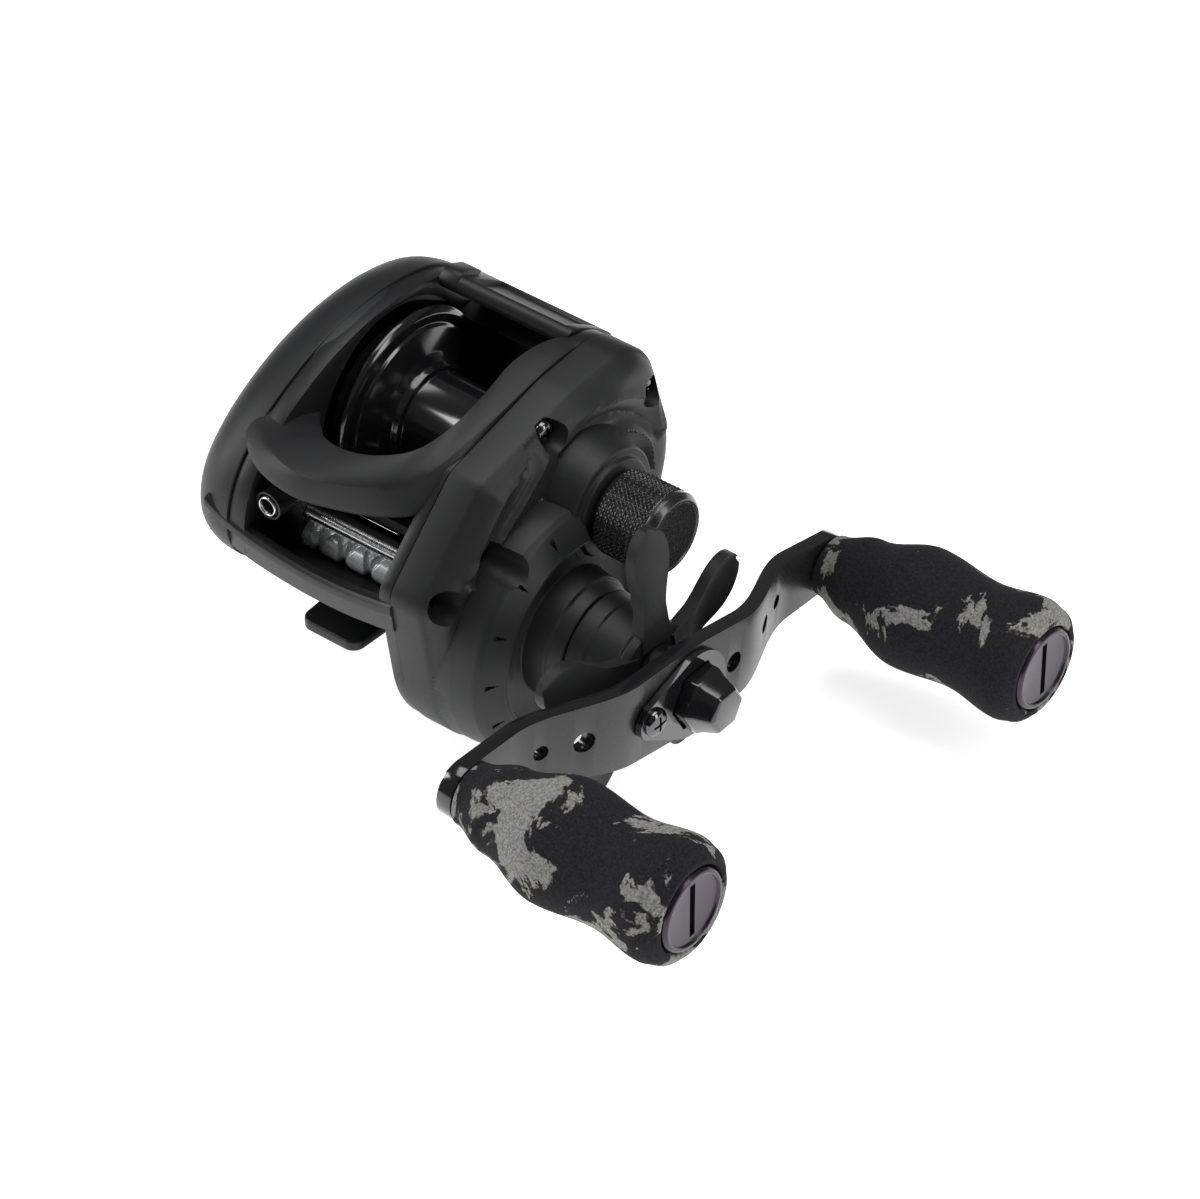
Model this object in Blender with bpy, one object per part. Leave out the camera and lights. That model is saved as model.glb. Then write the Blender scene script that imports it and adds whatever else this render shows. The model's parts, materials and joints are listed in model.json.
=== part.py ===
"""Low-profile baitcasting reel, left-hand retrieve, as the separate pieces it is put together from.

Axes: +X runs along the spool axis towards the handle, +Y towards the back of the reel, +Z up from the rod.
The origin is the middle of the foot's flat face, where the rod's reel seat touches it.
Sizes are in millimetres and are scaled to metres when a mesh is made.
"""
import math

import bmesh
import bpy
from mathutils import Matrix, Vector

MM = 0.001

# Clearances
GAP = 0.3  # between two pieces that rest on each other
RUN = 0.15  # radial, between a shaft and the hole that it turns in

# Foot
FOOT_LENGTH = 63.0
FOOT_WIDTH = 13.6
FOOT_END_WIDTH = 11.6
FOOT_THICK = 2.0
FOOT_SCREW_SPACING = 30.0

# Spool and its well
FLANGE_R = 17.1
SPOOL_HALF = 11.3
FLANGE_THICK = 1.1
ARBOR_R = 8.0
WELL_GAP = 0.6
WELL_WALL = 1.2
SPOOL_SHAFT_R = 1.5

# Frame plates
SIDE_GAP = 2.3
HANDLE_PLATE = 2.1
PALM_PLATE = 3.0

# Gears
GEAR_MODULE = 0.508
MAIN_TEETH = 71
PINION_TEETH = 10
GEAR_ANGLE = 55.7  # from the drive shaft to the spool axis, degrees above +Y
GEAR_WIDTH = 2.8
WORM_MODULE = 0.884
WORM_DRIVE_TEETH = 27
WORM_TEETH = 12
WORM_ANGLE = 148.5  # from the drive shaft to the worm, degrees above +Y
WORM_GEAR_WIDTH = 2.0
CLUTCH_TRAVEL = 1.4
CAM_THICK = 1.0
YOKE_THICK = 0.9

# Drive shaft, drag and handle
SHAFT_R = 3.0
DRAG_R = 14.0
WASHER = 0.7
SLEEVE_R = 4.8
BEARING_R = 7.0
STAR_R = 25.5
STAR_ARMS = 5
HANDLE_REACH = 45.0
HANDLE_TILT = 8.0
ARM_WIDTH = 16.0
ARM_THICK = 2.6
ARM_DROP = 6.5
ARM_X = 52.0
KNOB_LENGTH = 42.4
KNOB_R = 10.5
KNOB_SHAFT_R = 1.9
CAP_R = 6.97
NUT_R = 5.6
SCREW_REACH = 10.4  # from the drive shaft to the retainer's screw, along the arm

# Levelwind
WORM_R = 2.4
ROD_R = 1.1
ROD_RISE = 4.6
RING_RISE = 8.6
RING_REACH = 5.8
GUIDE_WIDTH = 4.4
RING_HOLE_R = 1.35
BARREL_R = RING_HOLE_R + 1.1

# Cast control
CAST_R = 7.1
CAST_LENGTH = 11.3

# Thumb bar
THUMB_TRAVEL = 4.0
THUMB_SLOPE = 60.0  # of the bar's path, degrees below +Y
THUMB_THICK = 2.6

# Places worked out from the sizes above
WELL_R = FLANGE_R + WELL_GAP
SPOOL_Y = 1.7
SPOOL_Z = FOOT_THICK + GAP + WELL_WALL + WELL_R
CENTRES = (MAIN_TEETH + PINION_TEETH) * GEAR_MODULE / 2
SHAFT_Y = SPOOL_Y - CENTRES * math.cos(math.radians(GEAR_ANGLE))
SHAFT_Z = SPOOL_Z - CENTRES * math.sin(math.radians(GEAR_ANGLE))
WORM_CENTRES = (WORM_DRIVE_TEETH + WORM_TEETH) * WORM_MODULE / 2
WORM_Y = SHAFT_Y + WORM_CENTRES * math.cos(math.radians(WORM_ANGLE))
WORM_Z = SHAFT_Z + WORM_CENTRES * math.sin(math.radians(WORM_ANGLE))
SPOOL_AXIS = (SPOOL_Y, SPOOL_Z)
SHAFT_AXIS = (SHAFT_Y, SHAFT_Z)
WORM_AXIS = (WORM_Y, WORM_Z)
ROD_AXIS = (WORM_Y - 0.6, WORM_Z + ROD_RISE)
RING_AXIS = (WORM_Y - RING_REACH, WORM_Z + RING_RISE)
MAIN_TIP_R = MAIN_TEETH * GEAR_MODULE / 2 + 0.8 * GEAR_MODULE
HOUSING_R = MAIN_TIP_R + 4.0

PLATE_IN = SPOOL_HALF + SIDE_GAP
HANDLE_OUT = PLATE_IN + HANDLE_PLATE
PALM_OUT = -PLATE_IN - PALM_PLATE
SEAM = HANDLE_OUT + GAP
CAM_X = SEAM + GAP
YOKE_X = CAM_X + CAM_THICK + 0.25
WORM_GEAR_X = SEAM + 1.0
MAIN_X = WORM_GEAR_X + WORM_GEAR_WIDTH + 1.2
MAIN_END = MAIN_X + GEAR_WIDTH
WEB = 0.8
CARBON_X = MAIN_X + WEB + GAP
METAL_X = CARBON_X + WASHER + GAP
OUTER_CARBON_X = METAL_X + WASHER + GAP
PRESSURE_X = OUTER_CARBON_X + WASHER + GAP
PRESSURE_THICK = 1.2
SLEEVE_X = PRESSURE_X + PRESSURE_THICK + 0.4
BOSS_RIM_X = SEAM + 16.0
DOME_X = SEAM + 20.8
STAR_X = DOME_X + GAP
STAR_END = STAR_X + 10.6
ARM_FRONT = ARM_X + ARM_THICK
ARM_END_FRONT = ARM_FRONT - ARM_DROP
CAST_BASE = SEAM + 15.3
CAST_FACE = CAST_BASE + CAST_LENGTH
KNOB_X = ARM_END_FRONT + 0.5
KNOB_END = KNOB_X + KNOB_LENGTH - 1.0
CAP_FRONT = KNOB_X + KNOB_LENGTH - 0.6
TILT = math.radians(HANDLE_TILT)
ARM_DIRECTION = (-math.cos(TILT), math.sin(TILT))

SCREW_PLACES = {
    "side_plate_screw_rear": (SPOOL_Y + 17.0, SPOOL_Z + 9.6, SEAM + 6.4),
    "side_plate_screw_top": (SPOOL_Y - 6.4, SPOOL_Z + 14.4, SEAM + 5.6),
    "side_plate_screw_front": (SHAFT_Y - 12.0, SHAFT_Z + 18.9, SEAM + 6.4),
    "side_plate_screw_nose": (WORM_Y - 6.4, WORM_Z + 5.2, SEAM + 4.0),
}


# ---------------------------------------------------------------- scene and finish

def clear_scene():
    """Remove what the start-up file holds."""
    for item in list(bpy.data.objects):
        bpy.data.objects.remove(item, do_unlink=True)


def finish(name, colour, roughness, metallic):
    """A material of its own for one piece."""
    material = bpy.data.materials.new(name + "_finish")
    material.use_nodes = True
    shader = material.node_tree.nodes["Principled BSDF"]
    shader.inputs["Base Color"].default_value = (*colour, 1.0)
    shader.inputs["Roughness"].default_value = roughness
    shader.inputs["Metallic"].default_value = metallic
    material.diffuse_color = (*colour, 1.0)
    return material


LOOKS = {
    "matte": ((0.030, 0.031, 0.033), 0.62, 0.0),
    "gloss": ((0.012, 0.012, 0.013), 0.18, 0.9),
    "satin": ((0.035, 0.036, 0.038), 0.34, 0.7),
    "steel": ((0.56, 0.56, 0.57), 0.24, 1.0),
    "chrome": ((0.30, 0.30, 0.31), 0.12, 1.0),
    "brass": ((0.72, 0.52, 0.24), 0.30, 1.0),
    "carbon": ((0.020, 0.020, 0.022), 0.75, 0.0),
    "foam": ((0.045, 0.045, 0.050), 0.92, 0.0),
    "cap": ((0.045, 0.038, 0.050), 0.22, 0.9),
    "worm": ((0.72, 0.73, 0.74), 0.28, 0.6),
}


def add_object(name, mesh, look, origin):
    """Link a mesh whose points are in world millimetres, with its origin moved onto its axis."""
    place = Vector(origin) * MM
    mesh.transform(Matrix.Scale(MM, 4))
    mesh.transform(Matrix.Translation(-place))
    mesh.set_sharp_from_angle(angle=math.radians(35))
    item = bpy.data.objects.new(name, mesh)
    item.location = place
    if look:
        colour, roughness, metallic = LOOKS[look]
        mesh.materials.append(finish(name, colour, roughness, metallic))
    bpy.context.collection.objects.link(item)
    return item


def as_tool(item):
    """Turn an object into a cutter or a guide that isn't a piece."""
    item.hide_render = True
    item.display_type = "WIRE"
    return item


def boolean(item, other, operation, solver="EXACT"):
    """Add a Boolean with a tool object."""
    step = item.modifiers.new(operation.lower(), "BOOLEAN")
    step.operation = operation
    step.solver = solver
    step.object = as_tool(other)


def cut(item, *tools, solver="EXACT"):
    for tool in tools:
        boolean(item, tool, "DIFFERENCE", solver)


def join(item, *tools, solver="EXACT"):
    for tool in tools:
        boolean(item, tool, "UNION", solver)


# ---------------------------------------------------------------- shapes

def mesh_from(name, points, faces):
    """A smooth-shaded mesh with its faces turned outwards."""
    mesh = bpy.data.meshes.new(name)
    mesh.from_pydata(points, [], faces)
    work = bmesh.new()
    work.from_mesh(mesh)
    bmesh.ops.recalc_face_normals(work, faces=work.faces)
    work.to_mesh(mesh)
    work.free()
    mesh.shade_smooth()
    return mesh


def hull_ring(circles, count, inset=0.0):
    """Outline round a group of circles: at each direction, the point that lies furthest that way."""
    ring = []
    for step in range(count):
        angle = 2 * math.pi * step / count
        way = (math.cos(angle), math.sin(angle))
        best = max(circles, key=lambda c: c[0] * way[0] + c[1] * way[1] + c[2])
        reach = best[2] - inset
        ring.append((best[0] + reach * way[0], best[1] + reach * way[1]))
    return ring


def circle_ring(centre, radius, count):
    return hull_ring([(centre[0], centre[1], radius)], count)


def loft(name, rings, look=None, origin=(0, 0, 0)):
    """Closed solid through rings of equal length; each ring is a list of 3-D points."""
    count = len(rings[0])
    points = [point for ring in rings for point in ring]
    faces = []
    for level in range(len(rings) - 1):
        base = level * count
        for step in range(count):
            after = (step + 1) % count
            faces.append((base + step, base + after, base + count + after, base + count + step))
    faces.append(tuple(range(count)))
    faces.append(tuple(range((len(rings) - 1) * count, len(rings) * count)))
    return add_object(name, mesh_from(name, points, faces), look, origin)


def across(name, circles, stations, look=None, origin=(0, 0, 0), count=30):
    """Solid along X through outlines in YZ; stations are pairs of X and inset."""
    rings = []
    for x, inset in stations:
        rings.append([(x, y, z) for y, z in hull_ring(circles, count, inset)])
    return loft(name, rings, look, origin)


def slab(name, outline, start, end, look=None, origin=(0, 0, 0)):
    """Straight solid along X from an outline of YZ points."""
    rings = [[(x, y, z) for y, z in outline] for x in (start, end)]
    return loft(name, rings, look, origin)


def upright(name, circles, low, high, look=None, origin=(0, 0, 0), count=32):
    """Straight solid along Z from circles in XY."""
    outline = hull_ring(circles, count)
    rings = [[(x, y, z) for x, y in outline] for z in (low, high)]
    return loft(name, rings, look, origin)


def block(name, low, high, look=None, origin=(0, 0, 0)):
    """Rectangular solid between two corners."""
    corners = [(low[1], low[2]), (high[1], low[2]), (high[1], high[2]), (low[1], high[2])]
    return slab(name, corners, low[0], high[0], look, origin)


def turned(name, profile, axis, look=None, count=16):
    """Solid of revolution about the line through axis along X.

    The profile is pairs of X and radius. It starts and ends on the axis for a solid piece.
    For a ring it never touches the axis and is closed from its last pair to its first.
    """
    solid = profile[0][1] == 0
    points = []
    rows = []
    for x, radius in profile:
        if radius == 0:
            rows.append([len(points)])
            points.append((x, axis[0], axis[1]))
            continue
        rows.append(list(range(len(points), len(points) + count)))
        for step in range(count):
            angle = 2 * math.pi * (step + 0.5) / count
            points.append((x, axis[0] + radius * math.cos(angle), axis[1] + radius * math.sin(angle)))
    pairs = list(zip(rows, rows[1:]))
    if not solid:
        pairs.append((rows[-1], rows[0]))
    faces = []
    for first, second in pairs:
        for step in range(count):
            after = (step + 1) % count
            if len(first) == 1:
                faces.append((first[0], second[step], second[after]))
            elif len(second) == 1:
                faces.append((first[step], first[after], second[0]))
            else:
                faces.append((first[step], first[after], second[after], second[step]))
    origin = ((profile[0][0] + profile[-1][0]) / 2, axis[0], axis[1])
    return add_object(name, mesh_from(name, points, faces), look, origin)


def rod(name, axis, radius, start, end, look=None, count=14):
    """Plain cylinder along X."""
    return turned(name, [(start, 0), (start, radius), (end, radius), (end, 0)], axis, look, count)


def ring(name, axis, inner, outer, start, end, look=None, count=16):
    """Plain washer or bush along X."""
    profile = [(start, inner), (start, outer), (end, outer), (end, inner)]
    return turned(name, profile, axis, look, count)


def gear_outline(axis, teeth, module, phase, thickness=0.36):
    """Straight-sided spur teeth, thinner than half the pitch, so that a pair turns freely."""
    pitch_r = teeth * module / 2
    tip = pitch_r + 0.8 * module
    root = pitch_r - 1.1 * module
    pitch = 2 * math.pi / teeth
    outline = []
    for tooth in range(teeth):
        middle = phase + tooth * pitch
        half = pitch * thickness / 2
        for radius, turn in ((root, -1.25 * half), (tip, -0.55 * half), (tip, 0.55 * half), (root, 1.25 * half)):
            angle = middle + turn
            outline.append((axis[0] + radius * math.cos(angle), axis[1] + radius * math.sin(angle)))
    return outline


def gear(name, axis, teeth, module, phase, start, end, bore, look):
    """Spur gear along X with a plain bore."""
    item = slab(name, gear_outline(axis, teeth, module, phase), start, end, look, (start, *axis))
    cut(item, rod(name + "_bore", axis, bore, start - 1, end + 1))
    return item


def offset(base, direction, distance):
    return (base[0] + direction[0] * distance, base[1] + direction[1] * distance)


# ---------------------------------------------------------------- outlines

HANDLE_CIRCLES = [
    (*SHAFT_AXIS, HOUSING_R),
    (SPOOL_Y + 2.8, SPOOL_Z - 3.0, WELL_R + 3.5),
    (SPOOL_Y + 10.8, SPOOL_Z + 8.3, 10.5),
    (SPOOL_Y - 19.7, SPOOL_Z + 9.8, 3.6),
    (WORM_Y - 5.6, WORM_Z + 4.4, 4.6),
]
PALM_CIRCLES = [
    (SPOOL_Y + 0.8, SPOOL_Z - 1.7, WELL_R + 2.8),
    (SPOOL_Y - 20.0, SPOOL_Z + 8.6, 4.8),
    (WORM_Y - 5.8, WORM_Z + 7.4, 4.4),
    (WORM_Y - 4.4, WORM_Z - 0.8, 5.2),
    (SPOOL_Y - 10.7, 6.5, 6.0),
    (SPOOL_Y + 8.3, 8.5, 7.0),
]
HOOD_CIRCLES = [
    (WORM_Y + 3.0, WORM_Z + 19.6, 1.4),
    (WORM_Y - 5.0, WORM_Z + 16.6, 1.3),
]
HOOD_PLAN = [
    (PALM_OUT + 6.4, WORM_Y + 0.2, 6.4), (HANDLE_OUT - 11.2, WORM_Y + 2.0, 8.2),
    (PALM_OUT + 8.6, SPOOL_Y + 18.3, 8.6), (HANDLE_OUT - 8.6, SPOOL_Y + 18.3, 8.6),
]
NOSE_CIRCLES = [(WORM_Y - 9.5, WORM_Z - 4.4, 1.1), (WORM_Y - 9.5, WORM_Z + 5.0, 1.1)]
FLOOR_CIRCLES = [(WORM_Y - 9.0, WORM_Z - 4.9, 0.6), (SPOOL_Y - 14.7, WORM_Z - 4.9, 0.6)]


def hood_solid(name, grow, look=None):
    """The hood's shape; grow thickens it where it cuts its seat in the frame."""
    circles = [(y, z, radius + grow) for y, z, radius in HOOD_CIRCLES]
    item = across(name, circles, [(PALM_OUT - grow, 0), (HANDLE_OUT + grow, 0)], look, count=22)
    plan = [(x, y, radius + grow) for x, y, radius in HOOD_PLAN]
    boolean(item, upright(name + "_plan", plan, 0, 80), "INTERSECT")
    return item


# ---------------------------------------------------------------- frame and covers

def make_frame():
    """Two side plates, the floor under the spool, the worm bed, the nose wall and the rear bar, in one."""
    palm = [(y, z, radius - 0.4) for y, z, radius in PALM_CIRCLES]
    handle = [(y, z, radius - 0.4) for y, z, radius in HANDLE_CIRCLES]
    frame = across("frame", palm, [(PALM_OUT, 0), (-PLATE_IN, 0)], "matte")
    parts = [across("frame_handle_plate", handle, [(PLATE_IN, 0), (HANDLE_OUT, 0)])]
    reach = (-PLATE_IN - 0.5, PLATE_IN + 0.5)
    parts.append(band("frame_floor", 212, 330, WELL_R - 0.5, WELL_R + WELL_WALL, *reach))
    parts.append(band("frame_rear_bar", -22, 24, WELL_R - 0.5, WELL_R + 3.2, *reach))
    parts.append(across("frame_nose", NOSE_CIRCLES, [(PALM_OUT + 0.4, 0), (HANDLE_OUT - 0.4, 0)], count=18))
    parts.append(across("frame_worm_bed", FLOOR_CIRCLES, [(reach[0], 0), (reach[1], 0)], count=18))
    for number, y in enumerate(foot_screw_places()):
        top = WORM_Z - 4.6 if y < 0 else SPOOL_Z - 4.0
        parts.append(upright(f"frame_post_{number}", [(0, y, 3.0)], FOOT_THICK + GAP, top, count=14))
    join(frame, *parts)
    cut(frame, rod("frame_well", SPOOL_AXIS, WELL_R, PALM_OUT - 2, PLATE_IN, count=36))
    cut(frame, hood_solid("frame_hood_seat", GAP))
    holes = [
        (SPOOL_AXIS, 3.6),
        (SHAFT_AXIS, SHAFT_R + 2.2),
        (WORM_AXIS, 2.9),
        (ROD_AXIS, ROD_R + RUN),
    ]
    for number, (axis, radius) in enumerate(holes):
        start = PLATE_IN - 3 if number < 2 else PALM_OUT - 1
        cut(frame, rod(f"frame_hole_{number}", axis, radius, start, HANDLE_OUT + 1))
    for name, (y, z, _) in SCREW_PLACES.items():
        cut(frame, rod("frame_" + name, (y, z), 1.1, PLATE_IN - 1, HANDLE_OUT + 1, count=12))
    for name, place in yoke_pin_places().items():
        cut(frame, rod("frame_" + name, place, 0.9 + RUN, PLATE_IN - 1, HANDLE_OUT + 1, count=12))
    for number, y in enumerate(foot_screw_places()):
        cut(frame, upright(f"frame_foot_hole_{number}", [(0, y, 1.1)], 0, FOOT_THICK + 4.4, count=12))
    lug = [(LUG_Y + y, LUG_Z + z, 0.5) for y in (0.2, 2.8) for z in (-1.2, 1.2)]
    end_of_slot = [(*offset((y, z), THUMB_PATH, THUMB_TRAVEL), r) for y, z, r in lug]
    cut(frame, across("frame_lug_slot", lug + end_of_slot, [(PLATE_IN - 1, 0), (HANDLE_OUT + 1, 0)], count=16))
    cut(frame, *thumb_seats())
    return frame


def band(name, start, end, inner, outer, low_x, high_x, steps=14):
    """Part of a ring about the spool axis, between two angles in degrees above +Y."""
    turns = [math.radians(start + (end - start) * step / steps) for step in range(steps + 1)]
    outline = [(SPOOL_Y + outer * math.cos(turn), SPOOL_Z + outer * math.sin(turn)) for turn in turns]
    outline += [(SPOOL_Y + inner * math.cos(turn), SPOOL_Z + inner * math.sin(turn)) for turn in reversed(turns)]
    return slab(name, outline, low_x, high_x)


def foot_screw_places():
    return (-FOOT_SCREW_SPACING / 2, FOOT_SCREW_SPACING / 2)


def yoke_pin_places():
    """Two pins either side of the pinion, square to the line between the shafts."""
    turn = math.radians(GEAR_ANGLE + 90)
    way = (math.cos(turn), math.sin(turn))
    return {"yoke_pin_1": offset(SPOOL_AXIS, way, 6.2), "yoke_pin_2": offset(SPOOL_AXIS, way, -6.2)}


def make_hood():
    return hood_solid("hood", 0.0, "matte")


def make_palm_side_plate():
    """Domed cover that carries the palm-side spool bearing and the brake dial."""
    outer = PALM_OUT - GAP
    stations = [(outer, 0), (outer - 3.4, 0.2), (outer - 6.2, 1.2), (outer - 8.2, 2.6), (outer - 9.3, 4.2)]
    plate = across("palm_side_plate", PALM_CIRCLES, stations[::-1], "matte")
    cut(plate, rod("palm_brake_well", SPOOL_AXIS, 15.0, outer - 3.9, outer + 1, count=32))
    cut(plate, rod("palm_bearing_seat", SPOOL_AXIS, 4.0 + RUN, outer - 6.6, outer))
    cut(plate, rod("palm_dial_seat", SPOOL_AXIS, 9.2, outer - 12, outer - 7.4, count=32))
    return plate


def make_handle_side_plate():
    """Cover over the gears, with the round drag housing, the cast-control tube and the bearing boss."""
    stations = [(SEAM, 0), (SEAM + 5.0, 0), (SEAM + 6.4, 1.0), (SEAM + 8.0, 2.3), (SEAM + 8.8, 3.6)]
    plate = across("handle_side_plate", HANDLE_CIRCLES, stations, "matte")
    r = HOUSING_R
    housing = [
        (SEAM + 0.4, 0), (SEAM + 0.4, r - 0.6), (SEAM + 9, r - 0.6), (SEAM + 13.6, r - 1.5),
        (SEAM + 15.4, r - 3.2), (BOSS_RIM_X, r - 4.4), (BOSS_RIM_X, r - 5.8), (BOSS_RIM_X - 1.6, r - 6.2),
        (BOSS_RIM_X - 1.6, BEARING_R + 3.6), (DOME_X - 2.3, BEARING_R + 3.3), (DOME_X, BEARING_R + 2.6),
        (DOME_X, 0),
    ]
    boss = turned("housing_boss", housing, SHAFT_AXIS, count=32)
    cut(boss, rod("cast_control_space", SPOOL_AXIS, CAST_R + 0.6, CAST_BASE - GAP, DOME_X + 1, count=28))
    joined = [boss]
    tube = [
        (SEAM + 0.7, 0), (SEAM + 0.7, 12.0), (SEAM + 8.5, 11.6), (SEAM + 12.5, 10.2), (SEAM + 14.2, 9.8),
        (SEAM + 14.2, 8.4), (CAST_BASE - GAP, 8.2), (CAST_BASE - GAP, 5.0), (CAST_BASE + 4.9, 5.0),
        (CAST_BASE + 4.9, 0),
    ]
    joined.append(turned("cast_control_tube", tube, SPOOL_AXIS, count=24))
    join(plate, *joined, solver="MANIFOLD")
    gears = [
        (*SHAFT_AXIS, WORM_DRIVE_TEETH * WORM_MODULE / 2 + 2.2),
        (*SPOOL_AXIS, 12.2),
        (*WORM_AXIS, WORM_TEETH * WORM_MODULE / 2 + 1.6),
        (LUG_Y + 1.5, LUG_Z - 2.5, 4.2),
    ]
    cuts = [across("gear_cavity", gears, [(SEAM - 1, 0), (MAIN_X - 0.4, 0)], count=32)]
    cuts.append(across("clutch_leg_path", clutch_leg_path(), [(SEAM - 1, 0), (SEAM + 2.8, 0)], count=24))
    yoke = [(*place, 2.0 + GAP) for place in yoke_pin_places().values()] + [(*SPOOL_AXIS, 4.4 + GAP)]
    cuts.append(across("yoke_path", yoke, [(SEAM - 1, 0), (YOKE_X + YOKE_THICK + CLUTCH_TRAVEL + GAP, 0)], count=26))
    cuts.append(rod("main_gear_cavity", SHAFT_AXIS, MAIN_TIP_R + 1.2, SEAM - 1, MAIN_END + 0.9, count=36))
    cuts.append(rod("drag_cavity", SHAFT_AXIS, DRAG_R + 1.5, MAIN_END, PRESSURE_X + PRESSURE_THICK + 1.2, count=32))
    cuts.append(rod("pinion_cavity", SPOOL_AXIS, 8.1, SEAM - 1, SEAM + 12.8, count=26))
    cuts.append(rod("spool_bearing_seat", SPOOL_AXIS, 3.9, SEAM + 12, CAST_BASE + 6))
    cuts.append(rod("one_way_seat", SHAFT_AXIS, BEARING_R + RUN, SLEEVE_X, DOME_X + 1, count=20))
    for name, (y, z, head) in SCREW_PLACES.items():
        cuts.append(rod(name + "_hole", (y, z), 1.3, SEAM - 1, head + 1, count=12))
        cuts.append(rod(name + "_pocket", (y, z), 2.25, head - 0.2, SEAM + 30, count=18))
    cut(plate, *cuts, solver="MANIFOLD")
    return plate


def make_foot():
    """Flat foot with narrowed, rounded ends; the rod's reel seat holds both ends."""
    half = FOOT_LENGTH / 2
    end = FOOT_END_WIDTH / 2
    ends = [(sign * (end - 2.2), way * (half - 2.2), 2.2) for sign in (-1, 1) for way in (-1, 1)]
    middle = [(sign * (FOOT_WIDTH / 2 - 6.0), way * 6.0, 6.0) for sign in (-1, 1) for way in (-1, 1)]
    foot = upright("reel_foot", ends + middle, 0, FOOT_THICK, "matte")
    for number, y in enumerate(foot_screw_places()):
        cut(foot, upright(f"foot_hole_{number}", [(0, y, 1.2)], -1, FOOT_THICK + 1, count=12))
        cut(foot, upright(f"foot_sink_{number}", [(0, y, 2.4)], -1, 1.3, count=14))
    return foot


def make_foot_screws():
    """Screws from under the foot into the frame's two posts."""
    for number, y in enumerate(foot_screw_places()):
        rings = []
        for z, radius in ((0.1, 2.1), (1.0, 2.1), (1.001, 0.9), (FOOT_THICK + 3.9, 0.9)):
            rings.append([(x, across_y, z) for x, across_y in hull_ring([(0, y, radius)], 16)])
        loft(f"foot_screw_{'front' if y < 0 else 'rear'}", rings, "chrome", (0, y, 0))


def make_side_plate_screws():
    """Domed screws that hold the handle side plate to the frame."""
    for name, (y, z, head) in SCREW_PLACES.items():
        profile = [
            (PLATE_IN + 0.2, 0), (PLATE_IN + 0.2, 0.85), (head, 0.85), (head, 1.95), (head + 0.9, 1.8),
            (head + 1.3, 1.2), (head + 1.3, 0),
        ]
        turned(name, profile, (y, z), "chrome", 14)


# ---------------------------------------------------------------- spool

def make_spool():
    """Deep-flanged spool with a hollow under each flange."""
    end = SPOOL_HALF
    face = end - FLANGE_THICK
    profile = [
        (-end, SPOOL_SHAFT_R + RUN), (-end, 3.6), (-end + 4.5, 4.2), (-end + 4.5, 6.6), (-end + 1.2, 12.6),
        (-end, 14.8), (-end, FLANGE_R), (-face, FLANGE_R), (-face + 0.8, 14.0), (-face + 2.6, 10.2),
        (-face + 4.2, ARBOR_R), (face - 4.2, ARBOR_R), (face - 2.6, 10.2), (face - 0.8, 14.0),
        (face, FLANGE_R), (end, FLANGE_R), (end, 14.8), (end - 1.2, 12.6), (end - 4.5, 6.6),
        (end - 4.5, 4.2), (end, 3.6), (end, SPOOL_SHAFT_R + RUN),
    ]
    return turned("spool", profile, SPOOL_AXIS, "gloss", 24)


def make_spool_shaft():
    """Fixed in the spool; its cross pin drives it from the pinion's slotted nose."""
    low = PALM_OUT - GAP - 6.2
    shaft = rod("spool_shaft", SPOOL_AXIS, SPOOL_SHAFT_R, low, CAST_BASE + 5.4, "steel")
    y, z = SPOOL_AXIS
    start = SPOOL_HALF + GAP
    join(shaft, block("spool_drive_pin", (start, y - 2.9, z - 0.5), (start + 1.2, y + 2.9, z + 0.5)))
    ring("brake_rotor", SPOOL_AXIS, SPOOL_SHAFT_R + RUN, 12.5, PALM_OUT + 0.9, PALM_OUT + 1.9, "satin", 20)


def make_spool_bearings():
    outer = PALM_OUT - GAP
    ring("spool_bearing_palm", SPOOL_AXIS, SPOOL_SHAFT_R + RUN, 4.0, outer - 6.3, outer - 4.1, "steel")
    start = SEAM + 13.2
    ring("spool_bearing_handle", SPOOL_AXIS, SPOOL_SHAFT_R + RUN, 3.7, start, start + 2.2, "steel")


def make_brake():
    """Magnet ring that the dial on the palm plate moves towards the rotor."""
    outer = PALM_OUT - GAP
    ring("brake_magnet_ring", SPOOL_AXIS, 6.0, 13.0, outer - 3.2, outer - 1.8, "steel", 20)
    dial = [
        (outer - 10.4, 0), (outer - 10.4, 6.8), (outer - 9.6, 8.6), (outer - 7.8, 8.8), (outer - 7.8, 0),
    ]
    knob = turned("brake_dial", dial[::-1], SPOOL_AXIS, "gloss", 26)
    y, z = SPOOL_AXIS
    join(knob, block("brake_dial_grip", (outer - 11.2, y - 6.4, z - 1.2), (outer - 9.0, y + 6.4, z + 1.2)))


# ---------------------------------------------------------------- gear train

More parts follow.
